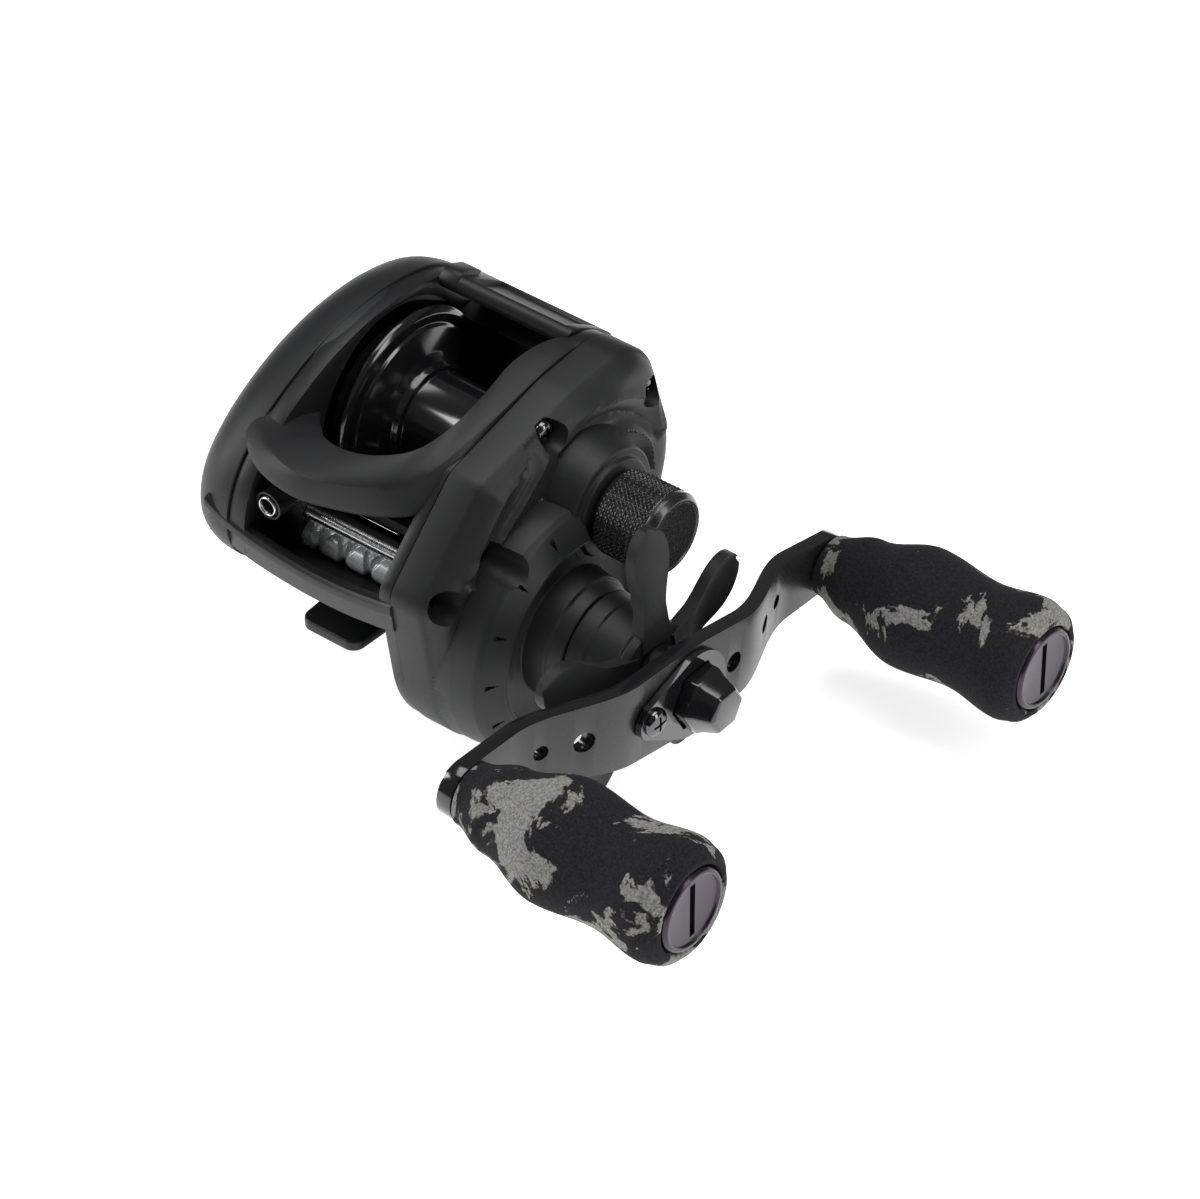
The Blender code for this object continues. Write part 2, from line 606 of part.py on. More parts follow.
def make_drive_shaft():
    """Shaft from the frame's bearing to the handle nut."""
    profile = [
        (PLATE_IN + 0.1, 0), (PLATE_IN + 0.1, SHAFT_R - 0.6), (HANDLE_OUT + 0.2, SHAFT_R - 0.6),
        (HANDLE_OUT + 0.2, SHAFT_R), (ARM_FRONT + 4.6, SHAFT_R), (ARM_FRONT + 4.6, 0),
    ]
    turned("drive_shaft", profile, SHAFT_AXIS, "steel", 18)
    ring("drive_shaft_bearing", SHAFT_AXIS, SHAFT_R - 0.6 + RUN, SHAFT_R + 2.0, PLATE_IN + 0.1,
         HANDLE_OUT - 0.1, "steel")
    bore = SHAFT_R + RUN
    phase = math.radians(WORM_ANGLE)
    gear("levelwind_drive_gear", SHAFT_AXIS, WORM_DRIVE_TEETH, WORM_MODULE, phase, WORM_GEAR_X,
         WORM_GEAR_X + WORM_GEAR_WIDTH, bore, "matte")
    main = gear("main_gear", SHAFT_AXIS, MAIN_TEETH, GEAR_MODULE, math.radians(GEAR_ANGLE), MAIN_X,
                MAIN_END, bore, "brass")
    cut(main, rod("drag_recess", SHAFT_AXIS, DRAG_R + 0.5, MAIN_X + WEB, MAIN_END + 1, count=32))
    ring("drag_washer_inner", SHAFT_AXIS, bore, DRAG_R, CARBON_X, CARBON_X + WASHER, "carbon", 20)
    ring("drag_plate_metal", SHAFT_AXIS, bore, DRAG_R, METAL_X, METAL_X + WASHER, "steel", 20)
    ring("drag_washer_outer", SHAFT_AXIS, bore, DRAG_R, OUTER_CARBON_X, OUTER_CARBON_X + WASHER, "carbon", 20)
    ring("drag_pressure_plate", SHAFT_AXIS, bore, DRAG_R, PRESSURE_X, PRESSURE_X + PRESSURE_THICK, "steel", 20)


def make_anti_reverse():
    """Clutch sleeve on the shaft, and the one-way roller bearing that it runs in."""
    ring("clutch_sleeve", SHAFT_AXIS, SHAFT_R + RUN, SLEEVE_R, SLEEVE_X, STAR_X + 4.6, "steel")
    start = SLEEVE_X + 1.9
    ring("one_way_bearing", SHAFT_AXIS, SLEEVE_R + RUN, BEARING_R, start, start + 6.4, "steel", 20)


def make_pinion():
    """Pinion with a slotted nose, a groove for the yoke and its teeth; it slides off the spool's cross pin."""
    nose = SPOOL_HALF + 0.7
    groove = YOKE_X - 0.3
    teeth = YOKE_X + YOKE_THICK + 0.3
    end = MAIN_END + 0.5
    phase = math.radians(GEAR_ANGLE + 180) + math.pi / PINION_TEETH
    outline = gear_outline(SPOOL_AXIS, PINION_TEETH, GEAR_MODULE, phase)
    item = slab("pinion_gear", outline, teeth, end, "brass", (nose, *SPOOL_AXIS))
    core = [
        (nose, 0), (nose, 3.1), (groove, 3.1), (groove, 2.35), (teeth + 0.1, 2.35), (teeth + 0.1, 1.9),
        (end + 0.4, 1.9), (end + 0.4, 0),
    ]
    join(item, turned("pinion_core", core, SPOOL_AXIS, count=18))
    cut(item, rod("pinion_bore", SPOOL_AXIS, SPOOL_SHAFT_R + RUN, 0, end + 3))
    y, z = SPOOL_AXIS
    cut(item, block("pinion_slot", (nose - 1, y - 4, z - 0.8), (nose + 1.1, y + 4, z + 0.8)))


def make_clutch():
    """Cam ring on the frame plate, the yoke that it lifts, and the yoke's two pins and springs."""
    places = yoke_pin_places()
    circles = [(*place, 2.0) for place in places.values()]
    high = YOKE_X + YOKE_THICK
    yoke = across("pinion_yoke", circles + [(*SPOOL_AXIS, 4.4)], [(YOKE_X, 0), (high, 0)], "satin", count=26)
    cut(yoke, rod("yoke_bore", SPOOL_AXIS, 2.35 + RUN, YOKE_X - 1, high + 1))
    for number, (name, place) in enumerate(places.items(), 1):
        cut(yoke, rod(f"yoke_hole_{number}", place, 0.9 + RUN, YOKE_X - 1, high + 1, count=12))
        rod(name, place, 0.9, PLATE_IN + 0.2, high + 4.4, "steel", 12)
        coil(f"yoke_spring_{number}", place, 1.4, 0.2, high + 0.3, 3.2, 2.0)
    cam = ring("clutch_cam", SPOOL_AXIS, 3.1 + GAP, 5.0, CAM_X, CAM_X + CAM_THICK, "satin")
    way = (math.cos(CAM_ANGLE), math.sin(CAM_ANGLE))
    lever = [(*offset(SPOOL_AXIS, way, 4.2), 0.9), (*offset(SPOOL_AXIS, way, CAM_REACH), 0.9)]
    join(cam, across("clutch_cam_lever", lever, [(CAM_X + 0.1, 0), (CAM_X + CAM_THICK - 0.1, 0)], count=12))


def coil(name, axis, radius, wire, start, turns, length, sides=4, steps=7):
    """Compression spring along X."""
    total = int(turns * steps)
    rings = []
    for step in range(total + 1):
        share = step / total
        turn = 2 * math.pi * turns * share
        centre = Vector((start + length * share, axis[0] + radius * math.cos(turn), axis[1] + radius * math.sin(turn)))
        out = Vector((0, math.cos(turn), math.sin(turn)))
        along = Vector((1, 0, 0))
        loop = []
        for side in range(sides):
            angle = 2 * math.pi * side / sides
            loop.append(tuple(centre + wire * (math.cos(angle) * out + math.sin(angle) * along)))
        rings.append(loop)
    return loft(name, rings, "steel", (start, *axis))


# ---------------------------------------------------------------- thumb bar

CAM_ANGLE = math.radians(22.0)
CAM_REACH = 8.4
THUMB_PATH = (math.cos(math.radians(THUMB_SLOPE)), -math.sin(math.radians(THUMB_SLOPE)))
THUMB_ANGLES = (37.0, 62.0)
LUG_ANGLE = math.radians(52.0)
THUMB_R = WELL_R + 3.4
LUG_Y = SPOOL_Y + (THUMB_R - 0.6) * math.cos(LUG_ANGLE) - 1.5
LUG_Z = SPOOL_Z + (THUMB_R - 0.6) * math.sin(LUG_ANGLE)


def thumb_outline(grow=0.0):
    """Curved bar section between two angles about the spool axis."""
    start, end = (math.radians(angle) for angle in THUMB_ANGLES)
    spread = grow / THUMB_R
    turns = [start - spread + (end - start + 2 * spread) * step / 10 for step in range(11)]
    outer = THUMB_R + THUMB_THICK / 2 + grow
    inner = THUMB_R - THUMB_THICK / 2 - grow
    outline = [(SPOOL_Y + outer * math.cos(turn), SPOOL_Z + outer * math.sin(turn)) for turn in turns]
    outline += [(SPOOL_Y + inner * math.cos(turn), SPOOL_Z + inner * math.sin(turn)) for turn in reversed(turns)]
    return outline


def thumb_seats():
    """Nothing of the frame stays in the thumb bar's way down."""
    outline = thumb_outline(0.5)
    seats = []
    for number, drop in enumerate((0.0, THUMB_TRAVEL / 2, THUMB_TRAVEL + 0.3)):
        lowered = [offset(place, THUMB_PATH, drop) for place in outline]
        seats.append(slab(f"thumb_seat_{number}", lowered, 0.4 - PLATE_IN, PLATE_IN - 0.4))
    return seats


def clutch_foot():
    """Y of the cam lever's end, and the height of the underside of the foot that rests on it."""
    return SPOOL_Y + CAM_REACH * math.cos(CAM_ANGLE), SPOOL_Z + CAM_REACH * math.sin(CAM_ANGLE) + 0.9 + GAP


def clutch_leg_path():
    """Circles round all that the bar's leg and foot sweep through inside the side plate."""
    lever_y, bottom = clutch_foot()
    corners = [
        (lever_y - 3.2, bottom), (lever_y - 3.2, bottom + 1.6), (LUG_Y + 2.8, bottom), (LUG_Y + 0.2, LUG_Z + 1.2),
        (LUG_Y + 2.8, LUG_Z + 1.2),
    ]
    circles = [(*corner, 0.6) for corner in corners]
    return circles + [(*offset(corner, THUMB_PATH, THUMB_TRAVEL), 0.6) for corner in corners]


def make_thumb_bar():
    """Bar between the plates, with a lug through the frame and a foot that rests on the cam's lever."""
    bar = slab("thumb_bar", thumb_outline(), 0.7 - PLATE_IN, PLATE_IN - 0.7, "matte", (0, SPOOL_Y, SPOOL_Z))
    low = (PLATE_IN - 3.0, LUG_Y + 0.2, LUG_Z - 1.2)
    high = (SEAM + 2.2, LUG_Y + 2.8, LUG_Z + 1.2)
    join(bar, block("thumb_bar_lug", low, high))
    lever_y, bottom = clutch_foot()
    low = (SEAM + GAP + 0.1, low[1] + 0.1, bottom + 0.4)
    high = (SEAM + GAP + 1.3, high[1] - 0.1, LUG_Z)
    join(bar, block("thumb_bar_leg", low, high))
    low = (SEAM + GAP + 0.2, lever_y - 3.2, bottom)
    high = (SEAM + GAP + 1.2, high[1] - 0.2, bottom + 1.6)
    join(bar, block("thumb_bar_foot", low, high))


# ---------------------------------------------------------------- cast control

def make_cast_control():
    """Knurled cap over the side plate's tube; its end presses on the spool shaft."""
    profile = [
        (CAST_BASE, 5.4), (CAST_BASE, 6.5), (CAST_BASE + 0.6, CAST_R), (CAST_FACE - 1.4, CAST_R),
        (CAST_FACE - 0.4, CAST_R - 0.6), (CAST_FACE, CAST_R - 0.9), (CAST_FACE, 0.0),
    ]
    inner = [(CAST_BASE + 6.4, 0.0), (CAST_BASE + 6.4, 5.4)]
    solid = [inner[0], inner[1], *profile]
    turned("cast_control_cap", solid, SPOOL_AXIS, "gloss", 26)


# ---------------------------------------------------------------- levelwind

GUIDE_X = -PLATE_IN + BARREL_R + 0.4


def make_levelwind():
    """Worm in two bushes, the guide rod, and the carriage with its pawl and ceramic ring."""
    end_r = 1.6
    profile = [
        (PALM_OUT + 0.3, 0), (PALM_OUT + 0.3, end_r), (-PLATE_IN + 0.2, end_r), (-PLATE_IN + 0.2, WORM_R),
        (PLATE_IN - 0.2, WORM_R), (PLATE_IN - 0.2, end_r), (WORM_GEAR_X + WORM_GEAR_WIDTH + 0.4, end_r),
        (WORM_GEAR_X + WORM_GEAR_WIDTH + 0.4, 0),
    ]
    turned("worm_shaft", profile, WORM_AXIS, "worm", 18)
    ring("worm_bush_palm", WORM_AXIS, end_r + RUN, 2.7, PALM_OUT + 0.2, -PLATE_IN - 0.1, "brass", 18)
    ring("worm_bush_handle", WORM_AXIS, end_r + RUN, 2.7, PLATE_IN + 0.1, HANDLE_OUT, "brass", 18)
    phase = math.radians(WORM_ANGLE + 180) + math.pi / WORM_TEETH
    gear("worm_gear", WORM_AXIS, WORM_TEETH, WORM_MODULE, phase, WORM_GEAR_X,
         WORM_GEAR_X + WORM_GEAR_WIDTH, end_r + RUN, "matte")
    rod("guide_rod", ROD_AXIS, ROD_R, PALM_OUT + 0.2, HANDLE_OUT - 0.1, "chrome")
    make_line_guide()


def make_line_guide():
    """Carriage round the worm and the rod, with a barrel for the ring in front."""
    left = GUIDE_X - GUIDE_WIDTH / 2
    right = GUIDE_X + GUIDE_WIDTH / 2
    body = [(*WORM_AXIS, WORM_R + 1.3), (*ROD_AXIS, ROD_R + 1.1), (ROD_AXIS[0] + 0.4, RING_AXIS[1] + 0.4, 1.3)]
    guide = across("line_guide", body, [(left, 0), (right, 0)], "matte", (GUIDE_X, *WORM_AXIS), 40)
    front = RING_AXIS[0] - 1.6
    rings = []
    for y in (front, ROD_AXIS[0] + 0.6):
        outline = hull_ring([(GUIDE_X, RING_AXIS[1], BARREL_R)], 24)
        rings.append([(x, y, z) for x, z in outline])
    join(guide, loft("line_guide_barrel", rings))
    for label, radius, start, end in (("seat", RING_HOLE_R + 0.75, front - 1, front + 1.9),
                                      ("throat", RING_HOLE_R, front, WORM_Y + 6)):
        rings = []
        for y in (start, end):
            outline = hull_ring([(GUIDE_X, RING_AXIS[1], radius)], 24)
            rings.append([(x, y, z) for x, z in outline])
        cut(guide, loft("line_guide_" + label, rings))
    cut(guide, rod("line_guide_worm_bore", WORM_AXIS, WORM_R + RUN, left - 1, right + 1))
    cut(guide, rod("line_guide_rod_bore", ROD_AXIS, ROD_R + RUN, left - 1, right + 1))
    cut(guide, upright("line_guide_pawl_bore", [(GUIDE_X, WORM_Y, 1.25)], 0, WORM_Z, count=12))
    upright("pawl", [(GUIDE_X, WORM_Y, 1.0)], WORM_Z - WORM_R - 1.1, WORM_Z - WORM_R - 0.25, "brass",
            (GUIDE_X, WORM_Y, WORM_Z), 16)
    make_guide_ring(front)


def make_guide_ring(front):
    """Round-edged hard ring that the line runs through."""
    steps = 8
    rings_by_step = []
    tube = 0.3
    centre_r = RING_HOLE_R + 0.2
    points = []
    faces = []
    count = 20
    for step in range(count):
        angle = 2 * math.pi * step / count
        loop = []
        for side in range(steps):
            turn = 2 * math.pi * side / steps
            radius = centre_r + tube * math.cos(turn)
            y = front + 0.6 + 1.0 * math.sin(turn)
            loop.append(len(points))
            points.append((GUIDE_X + radius * math.cos(angle), y, RING_AXIS[1] + radius * math.sin(angle)))
        rings_by_step.append(loop)
    for step in range(count):
        first = rings_by_step[step]
        second = rings_by_step[(step + 1) % count]
        for side in range(steps):
            after = (side + 1) % steps
            faces.append((first[side], first[after], second[after], second[side]))
    mesh = mesh_from("guide_ring", points, faces)
    add_object("guide_ring", mesh, "chrome", (GUIDE_X, front, RING_AXIS[1]))


# ---------------------------------------------------------------- star drag and handle

def make_star_drag():
    """Domed hub with five flat, slightly dished arms."""
    profile = [
        (STAR_X, SLEEVE_R + 0.4), (STAR_X, BEARING_R + 2.4), (STAR_X + 3.0, BEARING_R + 2.0),
        (STAR_X + 6.4, BEARING_R + 1.1), (STAR_X + 8.6, BEARING_R + 0.6), (STAR_END, BEARING_R - 0.4),
        (STAR_END, SHAFT_R + RUN), (STAR_X + 8.2, SHAFT_R + RUN), (STAR_X + 8.2, SLEEVE_R + 0.4),
    ]
    star = turned("star_drag", profile, SHAFT_AXIS, "matte", 20)
    for number in range(STAR_ARMS):
        turn = math.radians(13.0 + 360 / STAR_ARMS * number)
        join(star, star_arm(f"star_arm_{number}", turn))
    cut(star, rod("star_bore", SHAFT_AXIS, SLEEVE_R + 0.4, STAR_X - 1, STAR_X + 8.2))
    cut(star, rod("star_thread", SHAFT_AXIS, SHAFT_R + RUN, STAR_X - 1, STAR_END + 1))
    start = STAR_X + 5.4
    washer = [(start, SHAFT_R + RUN), (start + 0.6, SLEEVE_R), (start + 1.3, SLEEVE_R), (start + 0.7, SHAFT_R + RUN)]
    turned("drag_spring_washer", washer, SHAFT_AXIS, "steel", 18)


def star_arm(name, turn):
    """One arm: it widens to a spoon-shaped pad and leans inwards towards its tip."""
    inner = BEARING_R - 1.5
    steps = 5
    rings = []
    for step in range(steps + 1):
        share = step / steps
        reach = inner + (STAR_R - inner) * share
        half = 2.6 + 1.7 * math.sin(math.pi * min(1.0, share * 0.86))
        if share > 0.72:
            half *= math.sqrt(max(0.05, 1 - ((share - 0.72) / 0.29) ** 2))
        middle_x = STAR_X + 9.2 - 2.4 * share
        thick = 1.5 - 0.4 * share
        loop = []
        for side, lift in ((-half, -thick), (half, -thick), (half, thick * 0.6), (0, thick), (-half, thick * 0.6)):
            y = SHAFT_Y + reach * math.cos(turn) - side * math.sin(turn)
            z = SHAFT_Z + reach * math.sin(turn) + side * math.cos(turn)
            loop.append((middle_x + lift * 0.7, y, z))
        rings.append(loop)
    return loft(name, rings)


def arm_x(reach):
    """The arm's plate is flat near the nut and steps down towards each knob."""
    share = min(1.0, max(0.0, (abs(reach) - 13.0) / 22.0))
    smooth = share * share * (3 - 2 * share)
    return -ARM_DROP * smooth


def arm_half_width(reach):
    share = min(1.0, abs(reach) / HANDLE_REACH)
    return ARM_WIDTH / 2 - 3.2 * share ** 1.2


def make_handle_arm():
    """Bent plate with rounded ends and a row of lightening holes on each side."""
    end_r = arm_half_width(HANDLE_REACH)
    stations = []
    for step in range(-9, 10):
        turn = math.radians(step * 10)
        side_r = end_r
        if abs(step) == 9:
            side_r = 0.6
            stations.append((math.copysign(HANDLE_REACH + end_r * 0.985, step), side_r * 2.0))
            continue
        stations.append((HANDLE_REACH * math.sin(turn), None))
    extra = [(sign * (HANDLE_REACH + end_r * share), end_r * math.sqrt(1 - share * share))
             for sign in (-1, 1) for share in (0.35, 0.65, 0.87)]
    stations = sorted(stations + extra)
    rings = []
    for reach, width in stations:
        half = width if width is not None else arm_half_width(reach)
        drop = arm_x(reach)
        loop = []
        for side, x in ((-half, ARM_X), (half, ARM_X), (half, ARM_FRONT), (-half, ARM_FRONT)):
            y = SHAFT_Y + reach * ARM_DIRECTION[0] - side * ARM_DIRECTION[1]
            z = SHAFT_Z + reach * ARM_DIRECTION[1] + side * ARM_DIRECTION[0]
            loop.append((x + drop, y, z))
        rings.append(loop)
    arm = loft("handle_arm", rings, "gloss", (ARM_X, *SHAFT_AXIS))
    cut(arm, rod("arm_shaft_hole", SHAFT_AXIS, SHAFT_R + RUN, ARM_X - 2, ARM_X + 6))
    holes = ((SCREW_REACH, 1.5), (22.5, 1.75), (29.5, 1.3), (-11.5, 1.75), (-23.5, 1.5), (-30.0, 1.2))
    for number, (reach, radius) in enumerate(holes):
        place = offset(SHAFT_AXIS, ARM_DIRECTION, reach)
        cut(arm, rod(f"arm_hole_{number}", place, radius, ARM_X - 14, ARM_X + 6, count=14))
    for sign in (1, -1):
        place = offset(SHAFT_AXIS, ARM_DIRECTION, sign * HANDLE_REACH)
        cut(arm, rod(f"arm_knob_hole_{sign}", place, KNOB_SHAFT_R + RUN, ARM_X - 14, ARM_X + 6, count=14))
    return arm


def make_handle_fixings():
    """Nut on the shaft's end, the plate that stops it turning, and that plate's screw."""
    start = ARM_FRONT + GAP
    ring("handle_spacer", SHAFT_AXIS, SHAFT_R + RUN, 5.4, STAR_END + GAP, ARM_X - GAP, "gloss", 22)
    hexagon = [(start, NUT_R), (start + 3.9, NUT_R), (start + 4.3, NUT_R - 0.4)]
    rings = []
    for x, radius in hexagon:
        rings.append([(x, y, z) for y, z in circle_ring(SHAFT_AXIS, radius, 6)])
    nut = loft("handle_nut", rings, "gloss", (start, *SHAFT_AXIS))
    nose = [
        (start + 3.0, 0), (start + 3.0, 4.6), (start + 4.6, 4.7), (start + 7.0, 3.9), (start + 7.4, 3.5),
        (start + 7.4, 0),
    ]
    join(nut, turned("nut_nose", nose, SHAFT_AXIS, count=18))
    cut(nut, rod("nut_thread", SHAFT_AXIS, SHAFT_R + RUN, start - 1, ARM_FRONT + 5.0))
    screw_place = offset(SHAFT_AXIS, ARM_DIRECTION, SCREW_REACH)
    circles = [(*SHAFT_AXIS, NUT_R + 1.9), (*screw_place, 3.2)]
    plate = across("nut_retainer", circles, [(start, 0), (start + 1.1, 0)], "gloss", (start, *SHAFT_AXIS), 40)
    hexagon_hole = circle_ring(SHAFT_AXIS, NUT_R + GAP, 6)
    cut(plate, slab("retainer_hex", hexagon_hole, start - 1, start + 3))
    cut(plate, rod("retainer_hole", screw_place, 1.35, start - 1, start + 3, count=12))
    seat = start + 1.1 + GAP
    profile = [
        (ARM_X + 0.4, 0), (ARM_X + 0.4, 1.1), (seat, 1.1), (seat, 2.4), (seat + 0.7, 2.2),
        (seat + 1.0, 1.5), (seat + 1.0, 0),
    ]
    turned("retainer_screw", profile, screw_place, "steel", 14)


def smooth_through(stops, value):
    """Value of a smooth curve through a few stops, with cosine easing between them."""
    for (x0, r0), (x1, r1) in zip(stops, stops[1:]):
        if value <= x1:
            share = (value - x0) / (x1 - x0)
            return r0 + (r1 - r0) * (1 - math.cos(math.pi * share)) / 2
    return stops[-1][1]


def knob_profile():
    """Outer radius of a grip along its length: narrow neck, belly, waist and flared end."""
    stops = [(0.0, 0.50), (0.16, 0.70), (0.42, 0.985), (0.68, 0.885), (0.90, 1.0), (0.965, 0.94), (1.0, 0.80)]
    length = KNOB_END - KNOB_X
    shares = [0.0, 0.06, 0.14, 0.23, 0.33, 0.44, 0.56, 0.68, 0.79, 0.89, 0.95, 1.0]
    return [(KNOB_X + length * share, KNOB_R * smooth_through(stops, share)) for share in shares]


def make_knobs():
    """Each end of the arm has a riveted shaft, a foam grip, a bush and a slotted end cap."""
    for number, sign in ((1, 1), (2, -1)):
        axis = offset(SHAFT_AXIS, ARM_DIRECTION, sign * HANDLE_REACH)
        back = ARM_X - ARM_DROP
        shaft = [
            (back - 1.2, 0), (back - 1.2, 3.0), (back - GAP, 3.2), (back - GAP, KNOB_SHAFT_R),
            (CAP_FRONT - 4.0, KNOB_SHAFT_R), (CAP_FRONT - 4.0, 0),
        ]
        turned(f"knob_shaft_{number}", shaft, axis, "steel", 14)
        cap_seat = CAP_FRONT - 3.4
        bore = [
            (KNOB_END, CAP_R + 0.3), (cap_seat, CAP_R + 0.3), (cap_seat, 4.4), (cap_seat - 3.2, 4.4),
            (cap_seat - 3.2, KNOB_SHAFT_R + 0.4), (KNOB_X, KNOB_SHAFT_R + 0.4),
        ]
        turned(f"knob_grip_{number}", knob_profile() + bore, axis, "foam", 18)
        ring(f"knob_bush_{number}", axis, KNOB_SHAFT_R + RUN, 4.2, cap_seat - 2.9, cap_seat - 0.3, "steel", 18)
        face = [
            (cap_seat + 0.2, 0), (cap_seat + 0.2, CAP_R - 0.2), (CAP_FRONT - 0.5, CAP_R), (CAP_FRONT, CAP_R - 0.5),
            (CAP_FRONT, CAP_R - 1.0), (CAP_FRONT - 0.4, CAP_R - 1.3), (CAP_FRONT - 0.4, 0),
        ]
        cap = turned(f"knob_cap_{number}", face, axis, "cap", 20)
        y, z = axis
        cut(cap, block(f"cap_slot_{number}", (CAP_FRONT - 1.4, y - 0.65, z - 4.8), (CAP_FRONT + 1, y + 0.65, z + 4.8)))


def main():
    clear_scene()
    make_frame()
    make_hood()
    make_palm_side_plate()
    make_handle_side_plate()
    make_foot()
    make_foot_screws()
    make_side_plate_screws()
    make_spool()
    make_spool_shaft()
    make_spool_bearings()
    make_brake()
    make_drive_shaft()
    make_anti_reverse()
    make_pinion()
    make_clutch()
    make_thumb_bar()
    make_cast_control()
    make_levelwind()
    make_star_drag()
    make_handle_arm()
    make_handle_fixings()
    make_knobs()


main()
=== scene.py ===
import json
import math

import bmesh
import bpy
import numpy as np
from mathutils import Matrix, Vector


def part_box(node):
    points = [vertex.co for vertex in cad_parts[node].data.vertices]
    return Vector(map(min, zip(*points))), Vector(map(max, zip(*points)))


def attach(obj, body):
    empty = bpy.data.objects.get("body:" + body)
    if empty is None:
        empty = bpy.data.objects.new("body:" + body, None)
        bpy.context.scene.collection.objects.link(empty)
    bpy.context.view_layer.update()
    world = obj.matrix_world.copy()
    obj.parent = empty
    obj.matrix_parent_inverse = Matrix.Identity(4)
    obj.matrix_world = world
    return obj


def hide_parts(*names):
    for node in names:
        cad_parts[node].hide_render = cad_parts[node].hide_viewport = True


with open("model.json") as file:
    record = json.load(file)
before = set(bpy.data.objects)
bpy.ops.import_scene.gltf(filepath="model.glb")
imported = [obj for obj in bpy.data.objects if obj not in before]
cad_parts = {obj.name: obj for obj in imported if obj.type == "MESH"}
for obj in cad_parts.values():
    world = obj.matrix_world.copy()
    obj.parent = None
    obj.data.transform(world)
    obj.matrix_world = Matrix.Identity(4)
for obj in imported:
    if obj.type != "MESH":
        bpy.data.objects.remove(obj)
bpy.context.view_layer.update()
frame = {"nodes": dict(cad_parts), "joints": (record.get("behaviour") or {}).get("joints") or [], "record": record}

mm = 0.001
joints = {joint["name"]: joint for joint in frame["joints"]}


# Y and Z of a joint's axis, in millimetres.
def axisOf(name):
    place = joints[name]["pos_m"]
    return place[1] / mm, place[2] / mm


# Lowest and highest corner of a CAD node, in millimetres.
def spanOf(node):
    low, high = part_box(node)
    return np.array(low) / mm, np.array(high) / mm


shaftAxis = axisOf("handle_spin")
spoolAxis = axisOf("spool_spin")
wormAxis = axisOf("worm_spin")
knobAxes = {1: axisOf("knob_1_spin"), 2: axisOf("knob_2_spin")}
seam = spanOf("handle_side_plate")[0][0]
palmOut = spanOf("frame")[0][0]
handleOut = spanOf("frame")[1][0]
plateIn = 13.6  # from the middle to the inner face of a frame plate
wellR = 17.7  # bore that the spool turns in
print("frame loaded, axes read from the joints")


# Node group with named inputs and outputs.
def newGroup(name, inputs, outputs):
    group = bpy.data.node_groups.new(name, "ShaderNodeTree")
    for label, kind, value in inputs:
        socket = group.interface.new_socket(label, in_out="INPUT", socket_type=kind)
        if value is not None:
            socket.default_value = value
    for label, kind in outputs:
        group.interface.new_socket(label, in_out="OUTPUT", socket_type=kind)
    return group, group.nodes.new("NodeGroupInput"), group.nodes.new("NodeGroupOutput")


# Fine cast or moulded grain: a height, a slow tone drift and a roughness drift.
def makeGrainGroup():
    group, source, sink = newGroup(
        "mouldedGrain",
        [("Vector", "NodeSocketVector", None), ("Grain Scale", "NodeSocketFloat", 4200.0),
         ("Drift Scale", "NodeSocketFloat", 60.0)],
        [("Height", "NodeSocketFloat"), ("Tone", "NodeSocketFloat")],
    )
    nodes, links = group.nodes, group.links
    grain = nodes.new("ShaderNodeTexNoise")
    grain.inputs["Detail"].default_value = 3.0
    drift = nodes.new("ShaderNodeTexNoise")
    drift.inputs["Detail"].default_value = 2.0
    links.new(source.outputs["Vector"], grain.inputs["Vector"])
    links.new(source.outputs["Vector"], drift.inputs["Vector"])
    links.new(source.outputs["Grain Scale"], grain.inputs["Scale"])
    links.new(source.outputs["Drift Scale"], drift.inputs["Scale"])
    links.new(grain.outputs["Fac"], sink.inputs["Height"])
    links.new(drift.outputs["Fac"], sink.inputs["Tone"])
    return group


grainGroup = makeGrainGroup()


# Carry a 0 to 1 value onto the range low to high.
def spreadValue(nodes, links, source, low, high):
    spread = nodes.new("ShaderNodeMapRange")
    spread.inputs["From Min"].default_value = 0.3
    spread.inputs["From Max"].default_value = 0.7
    spread.inputs["To Min"].default_value = low
    spread.inputs["To Max"].default_value = high
    links.new(source, spread.inputs["Value"])
    return spread.outputs["Result"]


# Colour between two tones: dark where the factor is 0, light where it is 1.
def mixedTones(nodes, links, factor, dark, light):
    mix = nodes.new("ShaderNodeMix")
    mix.data_type = "RGBA"
    mix.inputs["A"].default_value = (*dark, 1)
    mix.inputs["B"].default_value = (*light, 1)
    links.new(factor, mix.inputs["Factor"])
    return mix.outputs["Result"]


# Bump from a height, into the shader's normal.
def raised(nodes, links, height, shader, strength, distance):
    relief = nodes.new("ShaderNodeBump")
    relief.inputs["Strength"].default_value = strength
    relief.inputs["Distance"].default_value = distance
    links.new(height, relief.inputs["Height"])
    links.new(relief.outputs["Normal"], shader.inputs["Normal"])


# New material, with its shader and its object coordinates.
def startMaterial(name):
    material = bpy.data.materials.new(name)
    material.use_nodes = True
    nodes, links = material.node_tree.nodes, material.node_tree.links
    shader = nodes["Principled BSDF"]
    place = nodes.new("ShaderNodeTexCoord")
    return material, nodes, links, shader, place.outputs["Object"]


